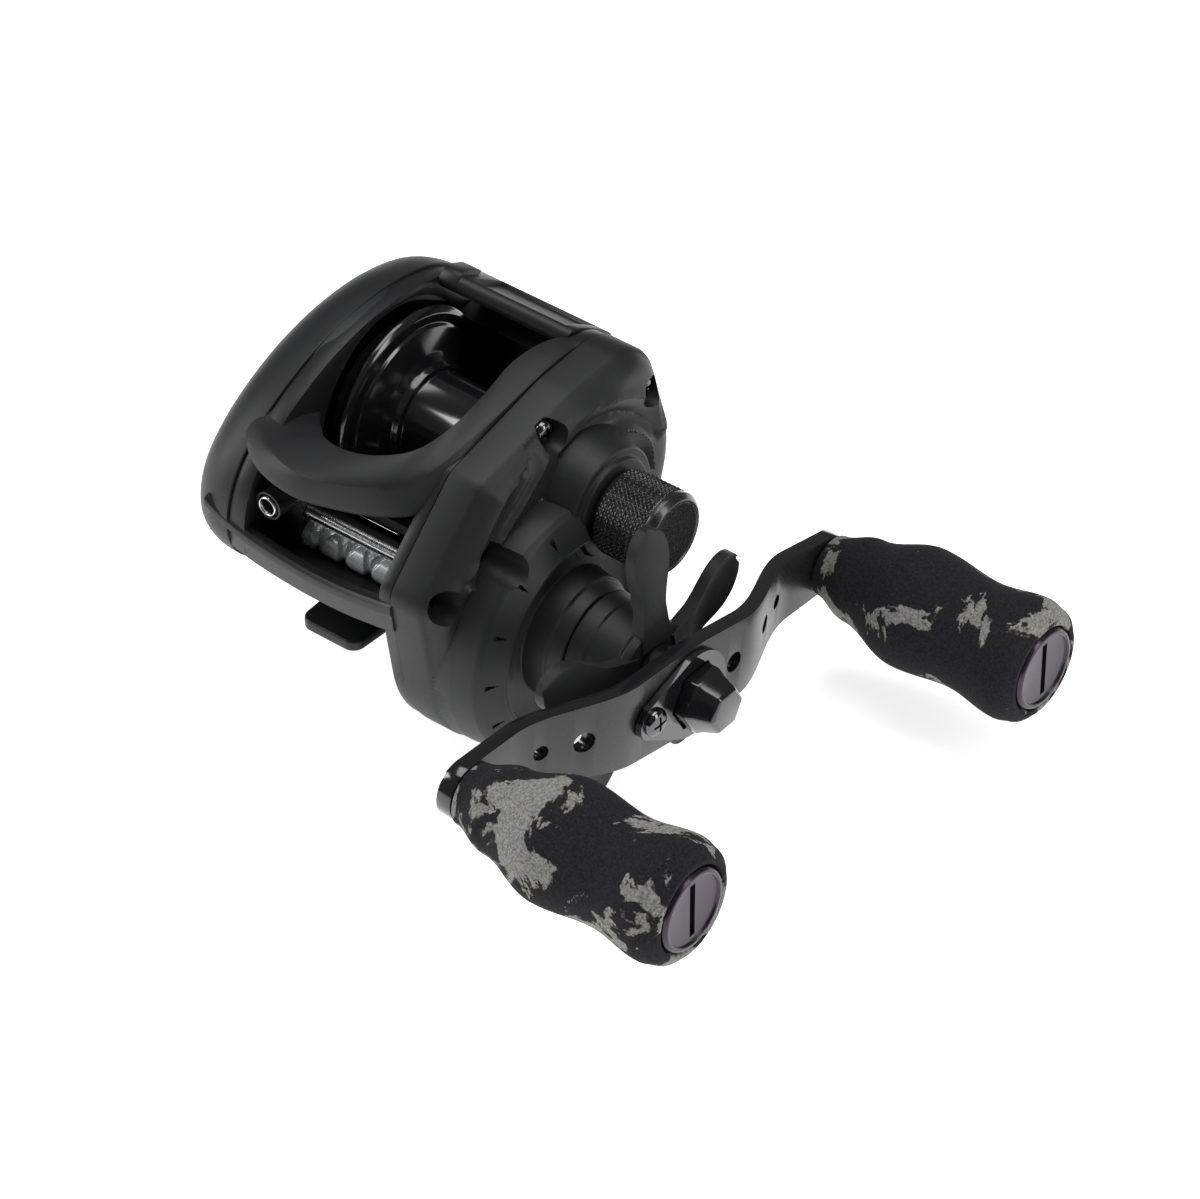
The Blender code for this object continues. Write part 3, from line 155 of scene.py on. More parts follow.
# A finish whose tone drifts between two colours, with fine grain in its roughness and height.
def surface(name, dark, light, roughness, metallic=0.0, grain=4200.0, bump=0.1, coat=0.0, drift=60.0,
            specular=0.5):
    material, nodes, links, shader, place = startMaterial(name)
    effect = nodes.new("ShaderNodeGroup")
    effect.node_tree = grainGroup
    effect.inputs["Grain Scale"].default_value = grain
    effect.inputs["Drift Scale"].default_value = drift
    links.new(place, effect.inputs["Vector"])
    tone = spreadValue(nodes, links, effect.outputs["Tone"], 0.0, 1.0)
    links.new(mixedTones(nodes, links, tone, dark, light), shader.inputs["Base Color"])
    links.new(spreadValue(nodes, links, effect.outputs["Height"], roughness[0], roughness[1]),
              shader.inputs["Roughness"])
    shader.inputs["Metallic"].default_value = metallic
    shader.inputs["Specular IOR Level"].default_value = specular
    if coat:
        shader.inputs["Coat Weight"].default_value = coat
        shader.inputs["Coat Roughness"].default_value = 0.12
    raised(nodes, links, effect.outputs["Height"], shader, bump, 0.0001)
    return material


# Turned metal: fine rings round the X axis show as bands along X.
def brushed(name, colour, roughness, lines, metallic=1.0):
    material, nodes, links, shader, place = startMaterial(name)
    stretch = nodes.new("ShaderNodeMapping")
    stretch.inputs["Scale"].default_value = (lines, lines * 0.04, lines * 0.04)
    noise = nodes.new("ShaderNodeTexNoise")
    noise.inputs["Scale"].default_value = 1.0
    noise.inputs["Detail"].default_value = 4.0
    links.new(place, stretch.inputs["Vector"])
    links.new(stretch.outputs["Vector"], noise.inputs["Vector"])
    links.new(spreadValue(nodes, links, noise.outputs["Fac"], roughness[0], roughness[1]),
              shader.inputs["Roughness"])
    dark = [channel * 0.82 for channel in colour]
    links.new(mixedTones(nodes, links, noise.outputs["Fac"], dark, colour), shader.inputs["Base Color"])
    shader.inputs["Metallic"].default_value = metallic
    raised(nodes, links, noise.outputs["Fac"], shader, 0.06, 0.00005)
    return material


gripLook = {
    "black": (0.014, 0.014, 0.016),
    "grey": (0.21, 0.21, 0.20),
    "edge": (0.075, 0.066, 0.058),
    "patchScale": 100.0,
    "threshold": 0.54,
    "speckScale": 2600.0,
}


# Dense foam: black with irregular grey patches, both broken up by a fine speckle.
def gripFoam(name, shift):
    material, nodes, links, shader, place = startMaterial(name)
    move = nodes.new("ShaderNodeMapping")
    move.inputs["Location"].default_value = shift
    links.new(place, move.inputs["Vector"])
    patch = nodes.new("ShaderNodeTexNoise")
    patch.inputs["Scale"].default_value = gripLook["patchScale"]
    patch.inputs["Detail"].default_value = 5.0
    patch.inputs["Roughness"].default_value = 0.58
    patch.inputs["Distortion"].default_value = 0.5
    links.new(move.outputs["Vector"], patch.inputs["Vector"])
    fine = nodes.new("ShaderNodeTexNoise")
    fine.inputs["Scale"].default_value = gripLook["speckScale"]
    fine.inputs["Detail"].default_value = 2.0
    links.new(place, fine.inputs["Vector"])
    jitter = nodes.new("ShaderNodeMath")
    jitter.operation = "MULTIPLY_ADD"
    jitter.inputs[1].default_value = 0.035
    links.new(fine.outputs["Fac"], jitter.inputs[0])
    links.new(patch.outputs["Fac"], jitter.inputs[2])
    ramp = nodes.new("ShaderNodeValToRGB")
    edge = gripLook["threshold"] + 0.0175
    elements = ramp.color_ramp.elements
    elements[0].position = edge - 0.012
    elements[0].color = (*gripLook["black"], 1)
    elements[1].position = edge + 0.006
    elements[1].color = (*gripLook["grey"], 1)
    middle = ramp.color_ramp.elements.new(edge - 0.002)
    middle.color = (*gripLook["edge"], 1)
    links.new(jitter.outputs["Value"], ramp.inputs["Fac"])
    salt = spreadValue(nodes, links, fine.outputs["Fac"], 0.55, 1.45)
    tint = nodes.new("ShaderNodeMix")
    tint.data_type = "RGBA"
    tint.blend_type = "MULTIPLY"
    tint.inputs["Factor"].default_value = 1.0
    links.new(ramp.outputs["Color"], tint.inputs["A"])
    links.new(salt, tint.inputs["B"])
    links.new(tint.outputs["Result"], shader.inputs["Base Color"])
    shader.inputs["Roughness"].default_value = 0.95
    shader.inputs["Specular IOR Level"].default_value = 0.2
    raised(nodes, links, fine.outputs["Fac"], shader, 0.55, 0.00012)
    return material


looks = {
    "shell": surface("softTouchShell", (0.012, 0.0123, 0.0134), (0.018, 0.0183, 0.0196), (0.40, 0.52),
                     bump=0.16, specular=0.30),
    "frame": surface("frameBlack", (0.010, 0.0103, 0.0114), (0.015, 0.0153, 0.0166), (0.36, 0.46), bump=0.12,
                     specular=0.30),
    "gloss": surface("glossAnodised", (0.006, 0.006, 0.007), (0.009, 0.009, 0.010), (0.10, 0.16), bump=0.01,
                     coat=0.6),
    "knurl": surface("knurledAnodised", (0.010, 0.010, 0.011), (0.014, 0.014, 0.015), (0.22, 0.32), bump=0.02,
                     coat=0.3),
    "satin": surface("satinAnodised", (0.016, 0.016, 0.017), (0.022, 0.022, 0.023), (0.28, 0.36), bump=0.03),
    "arm": surface("armSatin", (0.013, 0.013, 0.014), (0.019, 0.019, 0.020), (0.26, 0.34), bump=0.03),
    "knobCap": surface("capGunmetal", (0.034, 0.028, 0.036), (0.044, 0.038, 0.046), (0.20, 0.28),
                       metallic=0.7, bump=0.02),
    "chrome": surface("darkChrome", (0.10, 0.10, 0.105), (0.14, 0.14, 0.145), (0.07, 0.13), metallic=1.0,
                      bump=0.01),
    "steel": brushed("turnedSteel", (0.62, 0.62, 0.63), (0.18, 0.30), 4200.0),
    "brass": brushed("turnedBrass", (0.68, 0.47, 0.20), (0.22, 0.34), 4200.0),
    "worm": surface("paleWorm", (0.62, 0.63, 0.64), (0.72, 0.73, 0.74), (0.22, 0.32), metallic=0.35,
                    bump=0.02),
    "carbon": surface("dragWasher", (0.012, 0.012, 0.013), (0.03, 0.03, 0.032), (0.6, 0.8), grain=1500,
                      bump=0.5),
    "grip1": gripFoam("gripFoamFront", (0.013, 0.004, 0.031)),
    "grip2": gripFoam("gripFoamRear", (0.052, 0.018, -0.012)),
}
print("materials made")


# One object from grids of points. Each grid is (points, wrapped rows, capped ends), in millimetres.
def addPiece(name, parts, look, body, replaced=(), sharp=30.0):
    allPoints = []
    allFaces = []
    base = 0
    for points, wrapRows, caps in parts:
        rows, columns = points.shape[:2]
        index = base + np.arange(rows * columns).reshape(rows, columns)
        nextColumn = np.roll(index, -1, axis=1)
        if wrapRows:
            nextRow = np.roll(index, -1, axis=0)
            quads = np.stack([index, nextColumn, np.roll(nextColumn, -1, axis=0), nextRow], axis=-1)
        else:
            quads = np.stack([index[:-1], nextColumn[:-1], nextColumn[1:], index[1:]], axis=-1)
        allFaces += quads.reshape(-1, 4).tolist()
        if caps:
            allFaces.append(index[0][::-1].tolist())
            allFaces.append(index[-1].tolist())
        allPoints.append(points.reshape(-1, 3))
        base += rows * columns
    mesh = bpy.data.meshes.new(name)
    mesh.from_pydata((np.concatenate(allPoints) * mm).tolist(), [], allFaces)
    work = bmesh.new()
    work.from_mesh(mesh)
    bmesh.ops.recalc_face_normals(work, faces=work.faces)
    work.to_mesh(mesh)
    work.free()
    return dress(bpy.data.objects.new(name, mesh), look, body, replaced, sharp)


# Link a piece, give it its finish, and say what it rides on and replaces.
def dress(piece, look, body=None, replaced=(), sharp=30.0):
    if piece.name not in bpy.context.collection.objects:
        bpy.context.collection.objects.link(piece)
    if look:
        piece.data.materials.clear()
        piece.data.materials.append(looks[look])
    piece.data.shade_smooth()
    piece.data.set_sharp_from_angle(angle=math.radians(sharp))
    if body:
        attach(piece, body)
        if replaced:
            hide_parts(*replaced)
    return piece


# Round each corner of a profile: the corner is a short parabola between points that far along its sides.
def softened(profile, radius=0.25, steps=4, closed=False):
    corners = np.array(profile, float)
    count = len(corners)
    out = []
    for number in range(count):
        if not closed and number in (0, count - 1):
            out.append(corners[number])
            continue
        here = corners[number]
        before = corners[number - 1] - here
        after = corners[(number + 1) % count] - here
        lengthBefore, lengthAfter = np.linalg.norm(before), np.linalg.norm(after)
        reach = min(radius, 0.45 * lengthBefore, 0.45 * lengthAfter)
        start = here + before / lengthBefore * reach
        end = here + after / lengthAfter * reach
        for share in np.linspace(0, 1, steps + 1):
            out.append((1 - share) ** 2 * start + 2 * share * (1 - share) * here + share ** 2 * end)
    return np.array(out)


# Grid of a surface of revolution: each profile point is a ring of radius r at x round the axis.
def turned(profile, axis, count=144, closed=False, radius=0.25, steps=4):
    line = softened(profile, radius, steps, closed)
    angle = np.linspace(0, 2 * np.pi, count, endpoint=False)
    x = np.repeat(line[:, 0:1], count, axis=1)
    y = axis[0] + line[:, 1:2] * np.cos(angle)
    z = axis[1] + line[:, 1:2] * np.sin(angle)
    return np.stack([x, y, z], axis=-1), closed, not closed


# Outline round a group of circles: in each direction, the circle point that lies furthest that way.
def hullOutline(circles, count=240, inset=0.0):
    data = np.array(circles, float)
    angle = np.linspace(0, 2 * np.pi, count, endpoint=False)
    way = np.stack([np.cos(angle), np.sin(angle)], axis=1)
    best = np.argmax(way @ data[:, :2].T + data[:, 2], axis=1)
    return data[best, :2] + way * (data[best, 2:3] - inset)


# Points at equal steps of length along a closed line.
def evenlySpread(line, count):
    loop = np.vstack([line, line[:1]])
    reach = np.concatenate([[0], np.cumsum(np.linalg.norm(np.diff(loop, axis=0), axis=1))])
    want = np.linspace(0, reach[-1], count, endpoint=False)
    return np.stack([np.interp(want, reach, loop[:, 0]), np.interp(want, reach, loop[:, 1])], axis=1)


# Catmull-Rom cubic from p1 to p2: it leaves each along the line between that point's neighbours.
def cubicBetween(p0, p1, p2, p3, t):
    square = (2 * p0 - 5 * p1 + 4 * p2 - p3) * t ** 2
    return 0.5 * (2 * p1 + (p2 - p0) * t + square + (3 * p1 - p0 - 3 * p2 + p3) * t ** 3)


# The same outline with its points spread evenly along it.
def evenOutline(circles, count=240, inset=0.0):
    return evenlySpread(hullOutline(circles, 1440, inset), count)


# Grid of a solid along X: each station is an X and an inset of the outline.
def hullBlock(circles, stations, count=240, radius=0.3, steps=4):
    line = softened(stations, radius, steps)
    rings = []
    for x, inset in line:
        outline = hullOutline(circles, count, inset)
        rings.append(np.column_stack([np.full(count, x), outline]))
    return np.array(rings), False, True


# A closed solid used to cut or join, and removed afterwards.
def tool(name, grid):
    return addPiece(name, [grid], None, None)


# Rod along X: one radius between two ends.
def rodGrid(axis, radius, low, high, count=64):
    return turned([(low, radius), (high, radius)], axis, count)


# Solid along X: one outline in Y and Z, at two places.
def prismGrid(outline, low, high):
    return np.array([np.column_stack([np.full(len(outline), x), outline]) for x in (low, high)]), False, True


# Box between its lowest and its highest corner.
def boxGrid(low, high):
    corners = np.array([(low[1], low[2]), (high[1], low[2]), (high[1], high[2]), (low[1], high[2])], float)
    return prismGrid(corners, low[0], high[0])


# Apply Booleans with each tool, then remove the tools.
def reshape(piece, tools, operation="DIFFERENCE"):
    for other in tools:
        step = piece.modifiers.new("shape", "BOOLEAN")
        step.operation = operation
        step.solver = "MANIFOLD"
        step.object = other
    settle(piece)
    for other in tools:
        bpy.data.objects.remove(other)
    return piece


# Apply a piece's modifiers to its mesh.
def settle(piece):
    bpy.context.view_layer.update()
    graph = bpy.context.evaluated_depsgraph_get()
    mesh = bpy.data.meshes.new_from_object(piece.evaluated_get(graph))
    piece.modifiers.clear()
    piece.data = mesh
    return piece


# Round a piece's sharp edges.
def edged(piece, width, segments=2, angle=32.0):
    step = piece.modifiers.new("edge", "BEVEL")
    step.width = width * mm
    step.segments = segments
    step.limit_method = "ANGLE"
    step.angle_limit = math.radians(angle)
    step.use_clamp_overlap = True
    settle(piece)
    return piece


# Point at a distance along a direction.
def offsetPoint(base, way, distance):
    return base[0] + way[0] * distance, base[1] + way[1] * distance


spoolShape = {"half": 11.3, "flange": 17.1, "lip": 1.1, "arbor": 8.0}


# Deep flanges with a bright bevel and a stepped cone down to the arbor.
def makeSpool():
    end, lip, top, core = spoolShape["half"], spoolShape["lip"], spoolShape["flange"], spoolShape["arbor"]
    face = end - lip
    right = [
        (0.0, core), (face - 4.6, core), (face - 4.4, core + 0.9), (face - 3.4, core + 1.1),
        (face - 2.4, 10.6),
        (face - 0.9, 14.2), (face - 0.5, 14.6), (face - 0.35, top - 1.0), (face + 0.1, top - 0.2),
        (face + 0.5, top),
        (end - 0.3, top), (end, top - 0.4), (end, 14.8), (end - 1.2, 12.6), (end - 4.5, 6.6),
        (end - 4.5, 4.2),
        (end, 3.6), (end, 1.65),
    ]
    left = [(-x, r) for x, r in reversed(right)]
    profile = left + right[1:]
    addPiece("spoolTurned", [turned(profile, spoolAxis, 180, closed=True, radius=0.22)], "gloss",
             "spool_unit",
             ["spool"])


makeSpool()
print("spool made")


handleCircles = [
    (*shaftAxis, 22.45), (spoolAxis[0] + 2.8, spoolAxis[1] - 3.0, 21.2),
    (spoolAxis[0] + 10.8, spoolAxis[1] + 8.3, 10.5),
    (spoolAxis[0] - 19.7, spoolAxis[1] + 9.8, 3.6), (wormAxis[0] - 5.6, wormAxis[1] + 4.4, 4.6),
]


# Part of a ring about the spool axis between two angles, straight along X.
def bandGrid(start, end, inner, outer, low, high, steps=40):
    turn = np.radians(np.linspace(start, end, steps + 1))
    line = np.concatenate([
        np.stack([spoolAxis[0] + outer * np.cos(turn), spoolAxis[1] + outer * np.sin(turn)], axis=1),
        np.stack([spoolAxis[0] + inner * np.cos(turn[::-1]), spoolAxis[1] + inner * np.sin(turn[::-1])],
                 axis=1),
    ])
    return prismGrid(line, low, high)


# The nose lip's upper and lower edges as X and Z, and how far each line of its section stands back.
noseShape = {
    "top": [(-21.4, 20.4), (-19.4, 19.2), (-16.2, 17.9), (-10.6, 16.6), (-2.0, 15.7), (6.0, 15.8),
            (13.0, 16.7), (16.2, 17.4)],
    "bottom": [(-21.6, 15.4), (-20.0, 13.9), (-17.2, 12.6), (-11.6, 11.2), (-2.4, 10.3), (6.0, 10.4),
               (13.0, 11.2), (16.2, 11.8)],
    "section": [(0, 0.5), (0.1, 0), (0.34, 0), (0.4, 0.35), (1, 0.8), (1, 2.0), (0, 2.0)],
}


# Front lip of the frame: a section carried between the upper and the lower edge, with a shallow step.
def noseGrid():
    top, bottom = (smoothCurve([(x, z, 0) for x, z in noseShape[name]], 120)[:, :2]
                   for name in ("top", "bottom"))
    front = wormAxis[0] - 10.4
    rows = []
    for down, back in noseShape["section"]:
        spot = top + (bottom - top) * down
        rows.append(np.column_stack([spot[:, 0], np.full(len(spot), front + back), spot[:, 1]]))
    return np.array(rows).transpose(1, 0, 2), False, True


frameShape = {
    "floor": (212, 330, 1.2),  # start and end angle, thickness beyond the well
    "bar": (-22, 24, 3.2),
    "postY": 15.0,
    "postR": 3.0,
    "screwR": 1.1,
    "seatGap": 0.5,  # round the thumb bar, along its whole path
    "seatSteps": (0.0, 2.0, 4.3),
    "edge": 0.3,
}


# Two plates joined by the floor, the rear bar, the worm bed and the nose wall.
def makeFrame():
    handle = [(y, z, radius - 0.4) for y, z, radius in handleCircles]
    outline = shrunk(closedCurve(palmShape["outline"]), 0.35)
    body = tool("frameCast", prismGrid(outline, palmOut, -plateIn))
    reach = (-plateIn - 0.5, plateIn + 0.5)
    adds = [tool("framePlate", hullBlock(handle, [(plateIn, 0), (handleOut, 0)], 300, 0.01, 1))]
    for name, key in (("frameFloor", "floor"), ("frameBar", "bar")):
        start, end, thick = frameShape[key]
        adds.append(tool(name, bandGrid(start, end, wellR - 0.5, wellR + thick, *reach)))
    adds.append(tool("frameNose", noseGrid()))
    bed = [(wormAxis[0] - 9.0, wormAxis[1] - 0.8, 0.7), (wormAxis[0] - 6.0, wormAxis[1] - 4.6, 0.7),
           (spoolAxis[0] - 14.7, wormAxis[1] - 4.9, 0.6)]
    adds.append(tool("frameBed", hullBlock(bed, [(reach[0], 0), (reach[1], 0)], 64, 0.01, 1)))
    posts = (-frameShape["postY"], frameShape["postY"])
    for number, y in enumerate(posts):
        top = wormAxis[1] - 4.6 if y < 0 else spoolAxis[1] - 4.0
        adds.append(tool(f"framePost{number}", uprightGrid([(0, y, frameShape["postR"])], 2.3, top)))
    reshape(body, adds, "UNION")
    cuts = [tool("well", rodGrid(spoolAxis, wellR, palmOut - 2, plateIn, 180))]
    guideAxis = (wormAxis[0] - 0.6, wormAxis[1] + 4.6)
    holes = ((spoolAxis, 3.6), (shaftAxis, 5.2), (wormAxis, 2.9), (guideAxis, 1.25))
    for number, (axis, radius) in enumerate(holes):
        start = plateIn - 3 if number < 2 else palmOut - 1
        cuts.append(tool(f"hole{number}", rodGrid(axis, radius, start, handleOut + 1)))
    for number, y in enumerate(posts):
        cuts.append(tool(f"footHole{number}", uprightGrid([(0, y, frameShape["screwR"])], 0, 6.4)))
    path = joints["thumb_press"]["axis"]
    for share in frameShape["seatSteps"]:
        seat = thumbGrid(frameShape["seatGap"], 0.4 - plateIn, plateIn - 0.4,
                         (path[1] * share, path[2] * share))
        cuts.append(tool(f"thumbSeat{share}", seat))
    reshape(body, cuts)
    edged(body, frameShape["edge"])
    dress(body, "frame", "reel_body", ["frame"])


# Solid along Z from circles in XY.
def uprightGrid(circles, low, high, count=96):
    outline = hullOutline(circles, count)
    rings = [np.column_stack([outline, np.full(count, z)]) for z in (low, high)]
    return np.array(rings), False, True


thumbShape = {
    "section": [(12.4, 39.2), (14.2, 39.9), (17.6, 38.2), (21.4, 35.6), (23.4, 33.6), (23.2, 31.9),
                (21.0, 33.0), (16.6, 35.6),
                (12.8, 37.2)],
    "panel": [(14.6, 40.6), (22.4, 35.6), (21.6, 34.6), (14.0, 39.3)],
    "block": [(12.2, 38.6), (13.6, 40.5), (16.2, 39.9), (18.6, 38.3), (14.0, 37.4)],
    "blockWidth": 3.4,
    "grooves": 3,
    "grooveR": 0.17,
    "endGap": 0.7,
}


# The thumb bar's curved section, along X.
def thumbGrid(grow, low, high, move=(0.0, 0.0)):
    line = closedCurve(thumbShape["section"], 120)
    line = shrunk(line, -grow) + np.array(move)
    return prismGrid(line, low, high)


# Each station of the hood: the opening's edge, the crease and the lip, as X, Y, Z.
hoodShape = {
    "edge": [(-13.9, 15.5, 33.2), (-13.9, 6.1, 38.5), (-13.9, -3.6, 38.9), (-13.9, -10.9, 36.6),
             (-13.8, -15.6, 29.5),
             (-9.6, -20.2, 30.2), (-4.6, -24.6, 33.4), (0.6, -26.0, 34.6), (6.0, -24.6, 35.4),
             (10.2, -20.6, 36.2),
             (11.5, -13.6, 37.2), (11.2, -6.0, 38.4), (10.4, 2.0, 39.7), (11.0, 9.0, 39.7),
             (12.6, 14.5, 38.6)],
    "crease": [(-17.0, 18.0, 33.6), (-16.6, 8.0, 39.3), (-16.4, -3.4, 39.9), (-16.8, -12.5, 37.8),
               (-17.4, -18.4, 34.4),
               (-16.6, -25.0, 32.2), (-11.0, -30.6, 32.2), (-3.0, -32.8, 32.4), (3.4, -31.4, 32.8),
               (9.0, -28.2, 33.2),
               (13.0, -22.6, 34.0), (15.2, -14.0, 36.6), (15.7, -2.0, 38.6), (15.7, 7.5, 39.7),
               (15.6, 15.0, 38.8)],
    "lip": [(-21.5, 19.0, 31.6), (-21.8, 9.0, 38.2), (-21.8, -3.0, 39.2), (-21.8, -13.0, 37.2),
            (-21.4, -20.0, 34.0),
            (-19.6, -26.6, 30.4), (-13.4, -32.0, 29.2), (-4.8, -34.2, 29.0), (2.6, -32.6, 28.8),
            (9.4, -29.4, 28.6),
            (14.2, -24.4, 28.8), (15.7, -18.6, 33.0), (15.75, -8.0, 37.0), (15.75, 6.0, 39.2),
            (15.7, 15.4, 38.4)],
    "thick": 1.0,
}


# Points on a Catmull-Rom curve through the given points: each piece is a cubic with the neighbours' slopes.
def smoothCurve(points, count=220):
    stops = np.array(points, float)
    padded = np.vstack([2 * stops[0] - stops[1], stops, 2 * stops[-1] - stops[-2]])
    spot = np.linspace(0, len(stops) - 1, count)
    base = np.minimum(spot.astype(int), len(stops) - 2)
    t = (spot - base)[:, None]
    p0, p1, p2, p3 = (padded[base + step] for step in range(4))
    return cubicBetween(p0, p1, p2, p3, t)


# Loft round the opening: a flat top band from its edge to the crease, a sloping band down to the lip, and a
# wall.
def makeHood():
    edge, crease, lip = (smoothCurve(hoodShape[name]) for name in ("edge", "crease", "lip"))
    down = np.array([0, 0, -hoodShape["thick"]])
    sections = []

    def between(first, second, share, bulge=0.0):
        return first + (second - first) * share + np.array([0, 0, bulge * 4 * share * (1 - share)])

    soft = 0.12
    for share in (0.02, 0.08, 0.3, 0.5, 0.7, 1 - soft / 1.4):
        sections.append(between(edge, crease, share, 0.25))
    for share in (soft / 1.4, 0.3, 0.55, 0.8, 0.95):
        sections.append(between(crease, lip, share, 0.35))
    sections.append(lip + down * 0.35)
    inward = edge - lip
    inward[:, 2] = 0
    inward /= np.maximum(np.linalg.norm(inward, axis=1, keepdims=True), 0.01)
    sections.append(lip + down * 0.9 + inward * 0.5)
    sections.append(crease + down * 1.6 + inward * 0.8)
    sections.append(edge + down - inward * 0.3)
    sections.append(edge + down * 0.85 + inward * 0.05)
    sections.append(edge + down * 0.25)
    grid = np.stack(sections, axis=1)
    addPiece("hoodMoulded", [(grid, False, True)], "shell", "reel_body", ["hood"], 24)


# Thumb bar with a raised block at one end, a sunk panel and fine grip grooves along its rear edge.
def makeThumbBar():
    low, high = thumbShape["endGap"] - plateIn, plateIn - thumbShape["endGap"]
    piece = tool("thumbBarMoulded", thumbGrid(0, low, high))
    cuts = []
    cuts.append(tool("panel", prismGrid(np.array(thumbShape["panel"]), low + 5.2, high - 1.6)))
    for step in range(thumbShape["grooves"]):
        place = (22.5 + step * 0.42, 35.0 - step * 0.62)
        cuts.append(tool(f"groove{step}", rodGrid(place, thumbShape["grooveR"], low + 4.0, high - 1.2, 12)))
    reshape(piece, cuts)
    block = prismGrid(closedCurve(thumbShape["block"], 60), low, low + thumbShape["blockWidth"])
    reshape(piece, [tool("block", block)], "UNION")
    edged(piece, 0.25, 2)
    dress(piece, "frame", "thumb", ["thumb_bar"])


palmShape = {
    "outline": [(27.2, 22.0), (24.6, 31.0), (17.6, 37.2), (8.0, 40.0), (-2.0, 40.2), (-11.0, 38.6),
                (-19.0, 35.6), (-26.2, 31.4),
                (-31.8, 26.0), (-34.6, 20.0), (-34.6, 13.6), (-31.2, 8.4), (-24.0, 4.6), (-14.0, 1.6),
                (-4.0, 0.9), (6.0, 1.0),
                (15.6, 2.8), (23.2, 8.6), (26.8, 15.0)],
    "depth": 9.4,
    "shoulder": 6.6,
    "dialR": 9.2,
    "wellR": 15.0,
    "bearingR": 4.15,
}


# Closed Catmull-Rom curve through the given points, spread evenly.
def closedCurve(points, count=300):
    stops = np.array(points, float)
    spot = np.linspace(0, len(stops), 1600, endpoint=False)
    base = spot.astype(int)
    t = (spot - base)[:, None]
    p0, p1, p2, p3 = (stops[(base + step) % len(stops)] for step in (-1, 0, 1, 2))
    return evenlySpread(cubicBetween(p0, p1, p2, p3, t), count)


# The outline moved inwards along its own normals.
def shrunk(outline, inset):
    along = np.roll(outline, -1, axis=0) - np.roll(outline, 1, axis=0)
    normal = np.stack([along[:, 1], -along[:, 0]], axis=1)
    normal /= np.linalg.norm(normal, axis=1, keepdims=True)
    if np.sum((outline - outline.mean(axis=0)) * normal) < 0:
        normal = -normal
    return outline - normal * inset


# Domed cover: each ring of the outline moves inwards as a quarter ellipse, with a dial seat in its middle.
def makePalmPlate():
    outer = palmOut - 0.3
    outline = closedCurve(palmShape["outline"])
    turn = np.linspace(0, np.pi / 2, 14)
    inset = palmShape["shoulder"] * (1 - np.cos(turn)) ** 1.1
    depth = (palmShape["depth"] - 0.3) * np.sin(turn)
    rings = [(outer, 0.0)] + [(outer - 0.3 - d, i) for d, i in zip(depth, inset)]
    grid = np.array([np.column_stack([np.full(len(outline), x), shrunk(outline, i)]) for x, i in rings])
    piece = tool("palmPlateMoulded", (grid, False, True))
    cuts = [tool("dialSeat", rodGrid(spoolAxis, palmShape["dialR"], outer - 12, outer - 7.4, 120))]
    cuts.append(tool("brakeWell", rodGrid(spoolAxis, palmShape["wellR"], outer - 3.9, outer + 1, 160)))
    cuts.append(tool("bearingSeat", rodGrid(spoolAxis, palmShape["bearingR"], outer - 6.6, outer)))
    reshape(piece, cuts)
    edged(piece, 0.2, 2)
    dress(piece, "shell", "reel_body", ["palm_side_plate"])


bearingR = 7.0  # outside of the one-way bearing
screwNodes = ("side_plate_screw_rear", "side_plate_screw_top", "side_plate_screw_front",
              "side_plate_screw_nose")
plateShape = {
    "rise": 8.8,
    "shoulder": 4.2,
    "centre": (-4.0, 16.0),
    "housingR": 22.3,
    "marks": 6,
    # creases on the face: route as Y, Z, then height and half width
    "creases": [
        ([(-26.0, 22.6), (-19.0, 31.0), (-9.0, 36.0), (1.0, 36.6), (11.0, 34.2), (19.0, 29.0), (22.6, 22.0)],
         1.0, 1.9),
        ([(-9.6, 34.6), (-15.0, 30.6), (-20.8, 25.4)], -1.1, 0.9),
        ([(-7.6, 33.6), (-13.4, 29.0), (-19.6, 24.4)], 1.0, 0.9),
        ([(-21.0, 21.4), (-12.0, 23.6), (-4.6, 26.6), (1.5, 29.0), (7.0, 29.4), (12.6, 27.2), (16.6, 22.6),
          (17.6, 17.0)], 1.7, 1.5),
        ([(-3.7, 31.4), (3.0, 33.0), (9.0, 32.0), (15.6, 28.0), (20.4, 21.4)], -0.9, 1.3),
        ([(-26.6, 19.8), (-22.4, 17.6), (-17.6, 16.6)], 0.9, 1.3),
        ([(-28.4, 12.0), (-24.6, 6.0), (-23.6, -2.0)], -0.8, 1.1),
    ],
}


# Shortest distance from each point to a smooth route.
def distanceTo(route, y, z):
    line = smoothCurve([(a, b, 0) for a, b in route], 90)[:, :2]
    gap = (y[..., None] - line[:, 0]) ** 2 + (z[..., None] - line[:, 1]) ** 2
    return np.sqrt(gap.min(axis=-1))


